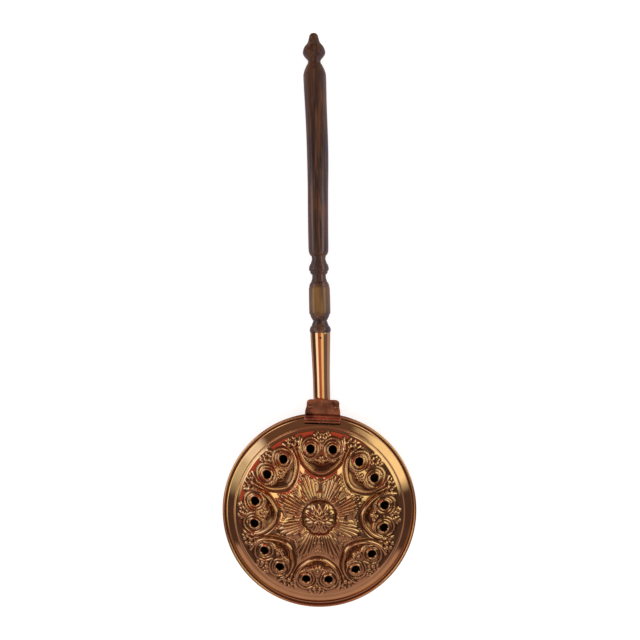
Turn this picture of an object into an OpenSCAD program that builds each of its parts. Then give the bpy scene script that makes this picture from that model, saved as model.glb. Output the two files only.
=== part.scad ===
// Bed warming pan: a shallow copper pan with a hinged, pierced and embossed lid,
// carried on a long turned wooden handle by a bracket and a tapered copper ferrule.
// Millimetres. Z points up through the lid, Y runs out along the hinge line of the
// pan towards the handle, and the origin is the middle of the pan's flat base.

/* [Pan] */
// Height from the flat base to the top of the rolled rim
pan_depth = 60; // [50:1:80]
// Outside diameter of the straight wall
pan_wall_d = 241; // [220:1:270]
// Thickness of the pan's sheet
pan_sheet = 1.0; // [0.8:0.1:1.4]
// Outside radius of the corner between the base and the wall
pan_corner_r = 22; // [16:1:24]
// Distance from the wall's outside out to the middle of the rolled rim
rim_overhang = 5.5; // [5.2:0.1:6.2]
// Thickness of the rolled rim
pan_bead_d = 3.5; // [3.4:0.1:3.8]
// Height of the rolled rim above the flange beside it
pan_bead_rise = 1.2; // [0.6:0.1:1.6]
// Inside radius of the bend from the wall out to the flange under the rim
rim_bend_r = 1.2; // [0.8:0.1:2]
// Diameter of the wire inside the pan's rolled rim
pan_wire_d = 2.0; // [1.4:0.1:2.4]

/* [Lid] */
// Thickness of the lid's sheet
lid_sheet = 0.9; // [0.8:0.1:1.2]
// Thickness of the lid's rolled edge
lid_bead_d = 4.0; // [3.8:0.1:4.4]
// Diameter of the wire inside the lid's rolled edge
lid_wire_d = 2.2; // [1.4:0.1:2.4]
// Height of the rolled edge's middle above the flat ring beside it, from its underside
lid_bead_lift = 0.4; // [0:0.1:1]
// Width of the flat ring and the rolled edge, outside the cove
lid_ring_w = 6.5; // [6:0.1:9]
// Distance from the cove's outer end in to the middle of the pan's rim under it
cove_overhang = 2.5; // [1.5:0.1:3]
// Radius of the cove
cove_r = 9.5; // [8:0.5:11]
// How far the cove turns up from level, in degrees
cove_turn = 72; // [60:1:76]
// Height of the first ridge ring over the top of the cove
ridge_rise = 1.3; // [0.8:0.1:2]
// Height of the embossed field's edge over that ridge
ring_step = 1.6; // [1:0.1:2.4]
// Width of the step from the ridge's middle to the embossed field
ring_w = 3.7; // [3:0.1:6]
// Height of the embossed field's cone-like swell, if it ran on to the middle
field_rise = 25.5; // [15:0.1:35]
// How much of the swell is rounded rather than straight, from 0 to 1
field_round = 0.6; // [0:0.05:1]
// Diameter of the boss in the middle
boss_d = 43; // [36:1:48]
// Height of the boss above the field
boss_rise = 8; // [6:0.5:14]
// Gap between the closed lid and the pan's rim
lid_seat_gap = 0.3; // [0.3:0.05:0.5]

/* [Ornament] */
// Number of pierced cartouches round the lid
cartouches = 8; // [6:1:8]
// Distance from the field's edge in to the middles of the vent holes
hole_inset = 24.5; // [22:0.5:28]
// Distance between the two vent holes of a cartouche
hole_pitch = 30.5; // [28:0.5:32]
// Diameter of a vent hole
hole_d = 10.2; // [8:0.1:10.6]
// Diameter of the raised lip's middle line round a hole
lip_d = 13.6; // [13.2:0.1:14.6]
// Diameter of the scroll's middle line round a hole
scroll_d = 27; // [24:0.1:27.4]
// Thickness of the lips and scrolls
scroll_wire = 2.4; // [1.6:0.1:2.6]
// Height of the lips' and scrolls' middle line above the field
scroll_lift = 0.4; // [0.2:0.1:0.5]
// Diameter of the ridge that wraps the inner side of a cartouche
shell_d = 61; // [58:0.5:64]
// Distance from the field's edge in to the middle of that ridge
shell_inset = 22; // [20:0.5:24]
// Thickness of that ridge
shell_wire = 3.2; // [2:0.1:3.6]
// Depth of that ridge's middle line below the field at its middle
shell_sink = 0.5; // [0.3:0.1:0.8]
// How far that ridge wraps to each side, in degrees
shell_wrap = 105; // [80:1:120]
// Distance from the boss's edge out to where a star leaf starts
leaf_gap = 3.5; // [2.5:0.5:7]
// Length of a star leaf
leaf_l = 38; // [30:0.5:40]
// Width of a star leaf
leaf_w = 20; // [14:0.5:22]
// Height of a star leaf above the field
leaf_rise = 1.6; // [1:0.1:2.4]
// Diameter of the bead that sits between two cartouches
bead_d = 7; // [5:0.5:8]
// Distance from the field's edge in to the middles of those beads
bead_inset = 9; // [7:0.5:12]
// Height of those beads above the field
bead_rise = 2.8; // [2:0.1:3.5]
// Diameter of the bud on top of the boss
bud_d = 10; // [6:0.5:12]
// Height of the bud above the boss
bud_rise = 2.5; // [2:0.1:5]

/* [Hinge] */
// Diameter of the hinge pin
pin_d = 2.2; // [2:0.1:2.4]
// Length of the pin that is let into the lid's edge at each end
pin_grip = 4; // [3:0.5:5]
// Width of the slot that is cut in the lid for the hinge
slot_w = 51; // [50:0.5:54]
// How far the slot runs in from the lid's outer edge
slot_depth = 15.8; // [13:0.1:16]
// Clearance between the pin and the strap curled round it
pin_clearance = 0.05; // [0.02:0.01:0.1]
// Gap between each end of the slot and the strap
strap_gap = 2; // [1:0.5:5]
// Thickness of the hinge strap
strap_t = 1.0; // [0.8:0.1:1.2]
// How far the strap reaches out beyond the lid's outer edge
strap_reach = 18.2; // [15:0.1:23]
// Corner radius at the strap's outer end
strap_corner = 5; // [2:0.5:8]
// Drop from the pin's middle to the top of the strap's flat leaf
strap_drop = 3.9; // [3.5:0.1:4.5]
// Inside radius of the bend between the flat leaf and the curl
strap_bend = 1.2; // [0.8:0.1:1.4]
// Distance between the two hinge rivets
hinge_rivet_pitch = 36; // [30:0.5:38]
// Distance of the hinge rivets from the strap's outer end
hinge_rivet_inset = 10.5; // [8:0.5:12]

/* [Bracket] */
// Thickness of the bracket
bracket_t = 1.6; // [1.2:0.1:2]
// Width of the bracket's shelf under the strap
bracket_w = 44; // [40:0.5:46]
// How far the shelf's edge stays inside the strap's outer end
shelf_inset = 1; // [0:0.5:3]
// Gap between the bracket's lower edge and the pan's rounded corner
flange_gap = 1.5; // [0.5:0.5:4]
// Distance between the wall rivets from side to side
wall_rivet_pitch = 36; // [33:0.5:38]
// Distance of the wall rivets from the bracket's lower edge and from its shelf
wall_rivet_inset = 4.2; // [4:0.1:6]
// Diameter of every rivet's shank
rivet_d = 3.2; // [2.4:0.1:4]
// Diameter of every rivet's head
rivet_head_d = 6.4; // [5.2:0.1:7]
// Height of every rivet's domed head
rivet_head_h = 1.8; // [1.2:0.1:2.4]

/* [Fixing] */
// Gap between the bracket's shelf and the ferrule under it
ferrule_drop = 2.9; // [1:0.1:5]
// Angle between the hinge line and the handle, in degrees
handle_lean = 3.2; // [0:0.1:5]
// Diameter of the long screw's shank
screw_d = 6; // [5:0.5:8]
// Length of the screw beyond the wall's outer face
screw_l = 78; // [60:1:100]
// Diameter of the screw's round head
screw_head_d = 13; // [11:0.5:16]
// Height of the screw's head
screw_head_h = 3.6; // [3:0.1:5]
// Diameter of the screw's tip
screw_tip_d = 1.2; // [0.8:0.1:2]
// Width of the slot in the screw's head
screw_slot_w = 1.6; // [1:0.1:2]
// Depth of the slot in the screw's head
screw_slot_h = 1.6; // [1:0.1:2]
// Width and height of the backing plate inside the pan
backing_w = 26; // [24:0.5:30]
// Thickness of the backing plate at its middle
backing_t = 2.6; // [2:0.1:4]

/* [Ferrule] */
// Distance from the wall's outer face to the ferrule's wide end
ferrule_l = 126; // [110:1:140]
// Outside diameter where the ferrule is straight, beside the bracket
ferrule_d_in = 24; // [22:0.2:28]
// Outside diameter at the wide end
ferrule_d_out = 28.4; // [26:0.2:32]
// Distance from the wall's outer face to where the ferrule starts to widen
ferrule_straight = 60; // [30:1:80]
// Thickness of the ferrule
ferrule_t = 0.9; // [0.6:0.1:1.2]
// Gap between the ferrule and the wood inside it
spigot_gap = 0.1; // [0.05:0.05:0.3]
// Diameter of the brad's shank
brad_d = 1.8; // [1.2:0.1:2.4]
// Diameter of the brad's head
brad_head_d = 3.2; // [2.6:0.1:4]
// Distance of the brad from the ferrule's wide end
brad_inset = 7; // [5:0.5:12]
// Height of the brad's head
brad_head_h = 0.8; // [0.4:0.1:1.2]
// Length of the brad below the head
brad_l = 12; // [8:1:13]

/* [Wooden handle] */
// How far the ends of each turned member stand in from its full radius
member_step = 2.4; // [1.2:0.1:3]
// Diameter of the flared bead that stands on the ferrule
foot_d = 30.4; // [28:0.2:34]
// Length of that flared bead
foot_l = 10; // [8:0.5:14]
// Diameter of the narrow necks between the turned members
neck_d = 19.8; // [16:0.2:22]
// Length of each neck with its two coves
neck_l = 17; // [14:0.5:22]
// Diameter of the straight turned block above the foot
block_d = 30.2; // [26:0.2:33]
// Length of that block
block_l = 40; // [30:0.5:50]
// Diameter of the bead between the block and the barrel
mid_bead_d = 29; // [26:0.2:31]
// Length of that bead
mid_bead_l = 16; // [10:0.5:20]
// Length of the neck with its fillet below the barrel
collar_l = 12; // [9:0.5:16]
// Diameter of the barrel's lower end, above its rounding
barrel_d_low = 28.8; // [27:0.2:32]
// Diameter of the barrel's upper end
barrel_d_high = 32.6; // [30:0.2:36]
// Length of the barrel with its rounded lower end
barrel_l = 257; // [220:1:300]
// Length of the rounding at the barrel's lower end
barrel_round = 22; // [14:0.5:28]
// Length of the shoulder that closes the barrel at the top
shoulder_l = 12; // [8:0.5:14]
// Diameter of the neck below the finial's ball
throat_d = 18.6; // [15:0.2:22]
// Length of that neck
throat_l = 9; // [6:0.5:16]
// Diameter of the finial's ball
ball_d = 33.4; // [30:0.2:37]
// Length of the finial's ball
ball_l = 21; // [16:0.5:26]
// Diameter of the finial's tip
tip_d = 14.4; // [12:0.2:18]
// Length of the cove between the ball and the tip
tip_cove_l = 4.1; // [3:0.1:8]
// Length of the tip's rounded end
tip_l = 12.3; // [8:0.1:16]

/* [Hidden] */

// Sides of a round form, and of one as wide as the pan
$fn = 96;
wall_fn = 360;
// Points along a bend, along the field's swell and along a turned member
arc_steps = 6;
field_steps = 10;
turn_steps = 10;
copper = "#b8734a";
copper_dark = "#9c5c38";
steel = "#8d8f92";
wood = "#4a2a1c";

// Pan
wall_r = pan_wall_d / 2;
bead_circle_r = wall_r + rim_overhang;
pan_bead_z = pan_depth - pan_bead_d / 2;
rim_flange_z = pan_depth - pan_bead_rise - pan_sheet;
rim_flange_r = bead_circle_r - (pan_wire_d + pan_bead_d) / 4;

// Lid: it is as wide as the pan's rim asks, and its underside clears that rim by the seat gap
cove_out_r = bead_circle_r + cove_overhang;
lid_r = cove_out_r + lid_ring_w;
lid_bead_circle_r = lid_r - lid_bead_d / 2;
ring_under_z = pan_depth + lid_seat_gap
    - (cove_r + lid_sheet - sqrt(pow(cove_r + lid_sheet, 2) - pow(cove_overhang, 2)));
lid_bead_z = ring_under_z + lid_bead_lift;
ring_top_z = ring_under_z + lid_sheet;
ring_out_r = lid_bead_circle_r - (lid_wire_d + lid_bead_d) / 4;
cove_in_r = cove_out_r - cove_r * sin(cove_turn);
cove_top_z = ring_top_z + cove_r * (1 - cos(cove_turn));
ridge_r = ridge_rise / (1 - cos(cove_turn));
ridge_mid_r = cove_in_r - ridge_r * sin(cove_turn);
ridge_mid_z = cove_top_z + ridge_rise;
field_r = ridge_mid_r - ring_w;
field_z = ridge_mid_z + ring_step;
boss_r = boss_d / 2;
boss_z = field_height(boss_r);
hole_circle_r = field_r - hole_inset;
leaf_mid_r = boss_r + leaf_gap + leaf_l / 2;

// Hinge
pin_z = lid_bead_z;
pin_half = slot_w / 2 + pin_grip;
pin_offset = sqrt(pow(lid_bead_circle_r, 2) - pow((slot_w + pin_grip) / 2, 2));
slot_in = lid_r - slot_depth;
strap_w = slot_w - 2 * strap_gap;
strap_out = lid_r + strap_reach;
knuckle_bore = pin_d / 2 + pin_clearance;
knuckle_r = knuckle_bore + strap_t;
leaf_top_z = pin_z - strap_drop;
leaf_under_z = leaf_top_z - strap_t;
shelf_under_z = leaf_under_z - bracket_t;
hinge_rivet_y = strap_out - hinge_rivet_inset;

// Fixing
wall_in_r = wall_r - pan_sheet;
flange_r = wall_r + bracket_t;
wall_rivet_seat = sqrt(pow(wall_in_r, 2) - pow(rivet_head_d / 2, 2));
wall_rivet_grip = flange_r - wall_rivet_seat;
screw_seat = -pan_sheet - backing_t;
flange_low_z = pan_corner_r + flange_gap;
wall_rivet_low_z = flange_low_z + wall_rivet_inset;
wall_rivet_high_z = shelf_under_z - wall_rivet_inset;
handle_z = shelf_under_z - ferrule_drop - ferrule_d_in / 2;

// Handle: distances along it from the wall's outside
spigot_r_in = ferrule_d_in / 2 - ferrule_t - spigot_gap;
spigot_r_out = ferrule_d_out / 2 - ferrule_t - spigot_gap;
brad_u = ferrule_l - brad_inset;
brad_seat = ferrule_r(brad_u + brad_head_d / 2);
foot_top = ferrule_l + foot_l;
block_low = foot_top + neck_l;
block_top = block_low + block_l;
bead_low = block_top + neck_l;
bead_top = bead_low + mid_bead_l;
barrel_low = bead_top + collar_l;
barrel_top = barrel_low + barrel_l;
throat_low = barrel_top + shoulder_l;
ball_low = throat_low + throat_l;
ball_top = ball_low + ball_l;

// A smooth half wave from a to b while t runs from 0 to 1
function ease(a, b, t) = a + (b - a) * (1 - cos(180 * t)) / 2;

// Height and slope of the embossed field's top at a distance r from the middle
function field_height(r) = field_z + field_rise
    * ((1 - field_round) * (1 - r / field_r) + field_round * (1 - pow(r / field_r, 2)));
function field_slope(r) = atan(field_rise / field_r * (1 - field_round + 2 * field_round * r / field_r));

// The unit vector square to the left of the way from a to b
function left_of(a, b) = [a[1] - b[1], b[0] - a[0]] / norm(b - a);

// The outline P moved to its left by the sheet's thickness t
function other_side(P, t) = [
    for (i = [0 : len(P) - 1])
        let (before = left_of(P[max(i - 1, 0)], P[max(i, 1)]))
        let (after = left_of(P[min(i, len(P) - 2)], P[min(i + 1, len(P) - 1)]))
        P[i] + t * (before + after) / (1 + before * after)
];

// Turned members of the handle as [radius, height] points, without their first point:
// a bead swells from r0 to peak and back to r1, a cove sinks from r0 to low and back to r1
function turned(z0, l, r0, mid, r1) = [
    for (i = [1 : turn_steps])
        let (t = i / turn_steps, from = t < 0.5 ? r0 : r1)
        [from + (mid - from) * sin(180 * t), z0 + l * t]
];
function cove(z0, l, r0, low, r1) = [
    for (i = [1 : turn_steps])
        let (t = i / turn_steps, from = t < 0.5 ? r0 : r1)
        [low + (from - low) * (1 - sin(180 * t)), z0 + l * t]
];

// The top of the lid from its outer ring to its middle
function lid_top() = concat(
    [[ring_out_r, ring_top_z]],
    [for (i = [0 : arc_steps]) let (a = cove_turn * i / arc_steps)
        [cove_out_r - cove_r * sin(a), ring_top_z + cove_r * (1 - cos(a))]],
    [for (i = [1 : arc_steps]) let (a = cove_turn * (1 - i / arc_steps))
        [ridge_mid_r + ridge_r * sin(a), ridge_mid_z - ridge_r * (1 - cos(a))]],
    [for (i = [1 : arc_steps]) let (t = i / arc_steps)
        [ridge_mid_r + (field_r - ridge_mid_r) * t, ease(ridge_mid_z, field_z, t)]],
    [for (i = [1 : field_steps]) let (r = field_r + (boss_r - field_r) * i / field_steps)
        [r, field_height(r)]],
    [for (i = [1 : arc_steps]) let (r = boss_r * (1 - i / arc_steps))
        [r, boss_z + boss_rise * (1 - pow(r / boss_r, 2))]]
);

// The outside of the pan from the middle of its base to the flange under its rim
function pan_outside() = concat(
    [[0, 0]],
    [for (i = [0 : arc_steps]) let (a = 90 * i / arc_steps)
        [wall_r - pan_corner_r * (1 - sin(a)), pan_corner_r * (1 - cos(a))]],
    [for (i = [0 : arc_steps]) let (a = 90 * i / arc_steps)
        [wall_r + rim_bend_r * (1 - cos(a)), rim_flange_z - rim_bend_r * (1 - sin(a))]],
    [[rim_flange_r, rim_flange_z]]
);

// A sheet turned about Z from the outline of one of its sides. The middle is squared off.
module spun_sheet(side, t) {
    other = other_side(side, t);
    middle_first = side[0][0] == 0;
    n = len(side) - 1;
    inner = [for (i = [0 : n])
        side[i][0] == 0 ? [0, side[i][1] + (middle_first ? t : -t)] : other[i]];
    rotate_extrude()
        polygon(concat(side, [for (i = [n : -1 : 0]) inner[i]]));
}

// A ring of round wire on a circle of radius r at height z
module ring(r, z, d) {
    rotate_extrude()
        translate([r, z])
            circle(d = d);
}

// Puts its children on the embossed field, at radius r and a degrees clockwise from the hinge,
// with their Z square to the field's surface and their Y pointing outwards
module on_field(r, a) {
    rotate([0, 0, -a])
        translate([0, r, field_height(r)])
            rotate([-field_slope(r), 0, 0])
                children();
}

// Puts its children at both vent holes of each cartouche
module at_holes() {
    half = asin(hole_pitch / 2 / hole_circle_r);
    for (k = [0 : cartouches - 1], side = [-1, 1])
        on_field(hole_circle_r, k * 360 / cartouches + side * half)
            children();
}

// Puts its children in the handle's frame: Z runs out along the handle from the wall's outside
module along_handle() {
    translate([0, wall_r, handle_z])
        rotate([0, 0, handle_lean])
            rotate([-90, 0, 0])
                children();
}

// A rivet from below z = 0 to above z = grip, with a dome at each end
module rivet(grip) {
    cylinder(d = rivet_d, h = grip);
    translate([0, 0, grip])
        dome(rivet_head_d, rivet_head_h);
    mirror([0, 0, 1])
        dome(rivet_head_d, rivet_head_h);
}

// A low dome on a flat base: the top of a ball, d across its base and h high
module dome(d, h) {
    ball_r = (pow(d / 2, 2) + pow(h, 2)) / (2 * h);
    intersection() {
        translate([0, 0, h - ball_r])
            sphere(r = ball_r);
        cylinder(r = d, h = 2 * h);
    }
}

// Puts its children at the four wall rivets, with Z pointing out of the wall
module at_wall_rivets() {
    turn = asin(wall_rivet_pitch / 2 / wall_r);
    for (side = [-1, 1], z = [wall_rivet_low_z, wall_rivet_high_z])
        rotate([0, 0, side * turn])
            translate([0, wall_rivet_seat, z])
                rotate([-90, 0, 0])
                    children();
}

// Puts its children at the two hinge rivets, standing on the shelf's underside
module at_hinge_rivets() {
    for (side = [-1, 1])
        translate([side * hinge_rivet_pitch / 2, hinge_rivet_y, shelf_under_z])
            children();
}

module pan_bowl() {
    color(copper)
        difference() {
            union() {
                spun_sheet(pan_outside(), pan_sheet);
                ring(bead_circle_r, pan_bead_z, pan_bead_d);
            }
            ring(bead_circle_r, pan_bead_z, pan_wire_d);
            at_wall_rivets()
                cylinder(d = rivet_d, h = wall_rivet_grip);
            along_handle()
                translate([0, 0, -pan_sheet * 2])
                    cylinder(d = screw_d, h = pan_sheet * 3);
        }
}

module pan_rim_wire() {
    color(steel)
        ring(bead_circle_r, pan_bead_z, pan_wire_d);
}

// One leaf of the star: the shape that two circles share
module star_leaf() {
    side_r = (pow(leaf_l / 2, 2) + pow(leaf_w / 2, 2)) / leaf_w;
    translate([0, 0, -lid_sheet / 2])
        linear_extrude(leaf_rise + lid_sheet / 2)
            intersection() {
                translate([side_r - leaf_w / 2, 0])
                    circle(r = side_r);
                translate([leaf_w / 2 - side_r, 0])
                    circle(r = side_r);
            }
}

// The inner half of the ridge that wraps a cartouche
module shell_ridge() {
    rotate([0, 0, -90 - shell_wrap])
        rotate_extrude(angle = 2 * shell_wrap)
            translate([shell_d / 2, -shell_sink])
                circle(d = shell_wire);
}

module ornament() {
    step = 360 / cartouches;
    at_holes() {
        ring(lip_d / 2, scroll_lift, scroll_wire);
        ring(scroll_d / 2, scroll_lift, scroll_wire);
    }
    for (k = [0 : cartouches - 1]) {
        on_field(field_r - shell_inset, k * step)
            shell_ridge();
        on_field(leaf_mid_r, k * step + step / 2)
            star_leaf();
        for (turn = [0, step / 2])
            on_field(field_r - bead_inset, k * step + turn)
                raised_bead(bead_d, bead_rise);
    }
    translate([0, 0, boss_z + boss_rise])
        raised_bead(bud_d, bud_rise);
}

// A round bead that stands the height rise above the sheet and is cut off inside its thickness
module raised_bead(d, rise) {
    difference() {
        translate([0, 0, rise - d / 2])
            sphere(d = d);
        translate([0, 0, -d - lid_sheet / 2])
            cube(2 * d, center = true);
    }
}

module lid() {
    color(copper)
        difference() {
            union() {
                spun_sheet(lid_top(), lid_sheet);
                ring(lid_bead_circle_r, lid_bead_z, lid_bead_d);
                ornament();
            }
            lid_wire_run();
            pin_run();
            at_holes()
                cylinder(d = hole_d, h = 4 * lid_bead_d, center = true);
            translate([-slot_w / 2, slot_in, ring_under_z - lid_bead_d])
                cube([slot_w, slot_depth, lid_bead_d + field_z - ring_under_z]);
        }
}

// The lid's wire: a ring that stops at the hinge pin's two ends
module lid_wire_run() {
    difference() {
        ring(lid_bead_circle_r, lid_bead_z, lid_wire_d);
        translate([-pin_half, 0, lid_bead_z - lid_wire_d])
            cube([2 * pin_half, lid_r, 2 * lid_wire_d]);
    }
}

module lid_rim_wire() {
    color(steel)
        lid_wire_run();
}

module pin_run() {
    translate([-pin_half, pin_offset, pin_z])
        rotate([0, 90, 0])
            cylinder(d = pin_d, h = 2 * pin_half);
}

module hinge_pin() {
    color(steel)
        pin_run();
}

// The strap from its side: a curl round the pin, a riser, a bend and the flat leaf
module strap_side() {
    riser_y = pin_offset + knuckle_bore;
    bend_y = pin_offset + knuckle_r + strap_bend;
    bend_z = leaf_top_z + strap_bend;
    difference() {
        union() {
            translate([pin_offset, pin_z])
                circle(r = knuckle_r);
            translate([riser_y, bend_z])
                square([strap_t, pin_z - bend_z]);
        }
        translate([pin_offset, pin_z])
            circle(r = knuckle_bore);
    }
    intersection() {
        translate([bend_y, bend_z])
            difference() {
                circle(r = strap_bend + strap_t);
                circle(r = strap_bend);
            }
        translate([riser_y, leaf_under_z])
            square(strap_bend + strap_t);
    }
    translate([bend_y, leaf_under_z])
        square([strap_out - bend_y, strap_t]);
}

// A strip of width w from y = from to y = to, with two corners of radius c at its outer end
module tongue(w, from, to, c) {
    translate([-w / 2, from])
        square([w, to - from - c]);
    translate([c - w / 2, from])
        square([w - 2 * c, to - from]);
    for (side = [-1, 1])
        translate([side * (w / 2 - c), to - c])
            circle(r = c);
}

module hinge_strap() {
    color(copper_dark)
        difference() {
            intersection() {
                translate([-strap_w / 2, 0, 0])
                    rotate([90, 0, 90])
                        linear_extrude(strap_w)
                            strap_side();
                linear_extrude(2 * pan_depth)
                    tongue(strap_w, wall_r, strap_out, strap_corner);
            }
            at_hinge_rivets()
                cylinder(d = rivet_d, h = bracket_t + 2 * strap_t);
        }
}

module hinge_rivets() {
    color(copper)
        at_hinge_rivets()
            rivet(bracket_t + strap_t);
}

module handle_bracket() {
    shelf_out = strap_out - shelf_inset;
    color(copper_dark)
        difference() {
            union() {
                translate([0, 0, shelf_under_z])
                    linear_extrude(bracket_t)
                        tongue(bracket_w, 0, shelf_out, strap_corner);
                intersection() {
                    translate([0, 0, flange_low_z])
                        cylinder(r = flange_r, h = leaf_under_z - flange_low_z, $fn = wall_fn);
                    translate([-bracket_w / 2, 0, 0])
                        cube([bracket_w, shelf_out, pan_depth]);
                }
            }
            cylinder(r = wall_r, h = pan_depth, $fn = wall_fn);
            at_hinge_rivets()
                translate([0, 0, -bracket_t])
                    cylinder(d = rivet_d, h = 3 * bracket_t);
            at_wall_rivets()
                cylinder(d = rivet_d, h = wall_rivet_grip + bracket_t);
            along_handle()
                cylinder(d = screw_d, h = 3 * bracket_t);
        }
}

module wall_rivets() {
    color(copper)
        at_wall_rivets()
            rivet(wall_rivet_grip);
}

module backing_plate() {
    color(steel)
        difference() {
            intersection() {
                along_handle()
                    translate([-backing_w / 2, -backing_w / 2, screw_seat])
                        cube([backing_w, backing_w, backing_t + pan_sheet]);
                cylinder(r = wall_in_r, h = pan_depth, $fn = wall_fn);
            }
            along_handle()
                translate([0, 0, screw_seat - backing_t])
                    cylinder(d = screw_d, h = 3 * backing_t);
        }
}

module handle_screw() {
    tip = screw_d;
    color(steel)
        along_handle()
            difference() {
                union() {
                    translate([0, 0, screw_seat])
                        cylinder(d = screw_d, h = screw_l - tip - screw_seat);
                    translate([0, 0, screw_l - tip])
                        cylinder(d1 = screw_d, d2 = screw_tip_d, h = tip);
                    translate([0, 0, screw_seat])
                        mirror([0, 0, 1])
                            dome(screw_head_d, screw_head_h);
                }
                translate([-screw_head_d, -screw_slot_w / 2, screw_seat - screw_head_h])
                    cube([2 * screw_head_d, screw_slot_w, screw_slot_h]);
            }
}

// Outside radius of the ferrule at the distance u from the wall's outside
function ferrule_r(u) = ferrule_d_in / 2 + (ferrule_d_out - ferrule_d_in) / 2
    * max(0, u - ferrule_straight) / (ferrule_l - ferrule_straight);

module ferrule() {
    color(copper)
        difference() {
            along_handle()
                difference() {
                    rotate_extrude()
                        polygon([
                            [ferrule_r(0) - ferrule_t, 0],
                            [ferrule_r(0), 0],
                            [ferrule_r(0), ferrule_straight],
                            [ferrule_r(ferrule_l), ferrule_l],
                            [ferrule_r(ferrule_l) - ferrule_t, ferrule_l],
                            [ferrule_r(0) - ferrule_t, ferrule_straight]
                        ]);
                    brad_hole();
                }
            cylinder(r = flange_r, h = 2 * pan_depth, $fn = wall_fn);
        }
}

// Puts its children under the brad's head, with Z square to the handle and pointing up
module at_brad() {
    translate([0, -brad_seat, brad_u])
        rotate([90, 0, 0])
            children();
}

module brad_hole() {
    at_brad()
        translate([0, 0, -brad_l])
            cylinder(d = brad_d, h = 2 * brad_l);
}

module ferrule_brad() {
    color(copper_dark)
        along_handle()
            at_brad() {
                translate([0, 0, -brad_l])
                    cylinder(d = brad_d, h = brad_l + brad_head_h / 2);
                dome(brad_head_d, brad_head_h);
            }
}

// The turned handle's outline as [radius, distance] points, from the ferrule's end to the tip
function handle_side() =
    let (foot = foot_d / 2, block = block_d / 2, bead = mid_bead_d / 2, neck = neck_d / 2)
    let (low = barrel_d_low / 2, high = barrel_d_high / 2, ball = ball_d / 2, tip = tip_d / 2)
    let (throat = throat_d / 2, step = member_step)
    concat(
        [[foot - step, ferrule_l]],
        turned(ferrule_l, foot_l, foot - step, foot, foot - step),
        cove(foot_top, neck_l, foot - step, neck, block - step),
        [[block, block_low + step], [block, block_top - step], [block - step, block_top]],
        cove(block_top, neck_l, block - step, neck, bead - step),
        turned(bead_low, mid_bead_l, bead - step, bead, bead - step),
        cove(bead_top, collar_l, bead - step, neck, low - step),
        [for (i = [1 : turn_steps]) let (t = i / turn_steps)
            [low - step * (1 - sin(90 * t)), barrel_low + barrel_round * t]],
        [[high, barrel_top]],
        [for (i = [1 : turn_steps]) let (t = i / turn_steps)
            [high - 2 * step * (1 - cos(90 * t)), barrel_top + shoulder_l * t]],
        cove(throat_low, throat_l, high - 2 * step, throat, throat + step / 2),
        turned(ball_low, ball_l, throat + step / 2, ball, tip + step / 2),
        cove(ball_top, tip_cove_l, tip + step / 2, tip, tip),
        [for (i = [1 : turn_steps]) let (a = 90 * i / turn_steps)
            [tip * cos(a), ball_top + tip_cove_l + tip_l * sin(a)]]
    );

module wood_handle() {
    color(wood)
        difference() {
            along_handle()
                difference() {
                    rotate_extrude()
                        polygon(concat(
                            [[0, 0], [spigot_r_in, 0], [spigot_r_in, ferrule_straight],
                                [spigot_r_out, ferrule_l]],
                            handle_side()
                        ));
                    cylinder(d = screw_d, h = screw_l);
                    brad_hole();
                }
            cylinder(r = flange_r + spigot_gap, h = 2 * pan_depth, $fn = wall_fn);
        }
}

pan_bowl();
pan_rim_wire();
lid();
lid_rim_wire();
hinge_pin();
hinge_strap();
hinge_rivets();
handle_bracket();
wall_rivets();
backing_plate();
handle_screw();
ferrule();
ferrule_brad();
wood_handle();
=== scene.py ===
# %% [markdown]
# # A bed warming pan
# A shallow copper pan carried hot embers. Its hinged lid is stamped in relief and pierced,
# and a long turned handle keeps the hands away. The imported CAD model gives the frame:
# its bodies, its hinge and its sizes. This lesson builds the lid, the pan, the handle, the
# ferrule and the hinge strap again with finer shapes, and gives every CAD piece that stays a
# finish of its own.

import math

import bmesh
import bpy
import numpy as np
from mathutils import Matrix, Vector


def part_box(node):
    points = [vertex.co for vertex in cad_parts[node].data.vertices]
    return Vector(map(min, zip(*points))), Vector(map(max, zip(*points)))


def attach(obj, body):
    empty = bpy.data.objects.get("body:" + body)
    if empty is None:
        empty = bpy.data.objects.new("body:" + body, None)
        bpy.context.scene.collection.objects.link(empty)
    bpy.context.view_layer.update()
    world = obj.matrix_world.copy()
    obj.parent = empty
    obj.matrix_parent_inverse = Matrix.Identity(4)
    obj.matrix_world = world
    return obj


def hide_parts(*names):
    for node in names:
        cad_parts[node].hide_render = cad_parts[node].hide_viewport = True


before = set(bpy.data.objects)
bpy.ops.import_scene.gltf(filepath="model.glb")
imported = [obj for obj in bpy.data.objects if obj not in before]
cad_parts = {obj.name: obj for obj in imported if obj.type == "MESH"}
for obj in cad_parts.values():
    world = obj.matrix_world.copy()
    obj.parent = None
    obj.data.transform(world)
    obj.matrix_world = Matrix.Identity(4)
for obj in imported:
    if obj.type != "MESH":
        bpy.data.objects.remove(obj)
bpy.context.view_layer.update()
MM = 0.001
print("nodes:", ", ".join(sorted(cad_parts)))

# %% [markdown]
# ## Sizes shared with the CAD source
# The numbers below are millimetres and repeat what the CAD source says, because this script
# can't read it. Where a CAD node has the size in its box, it is measured there instead. The
# hinge slot is a little smaller here than in the source.

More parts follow.
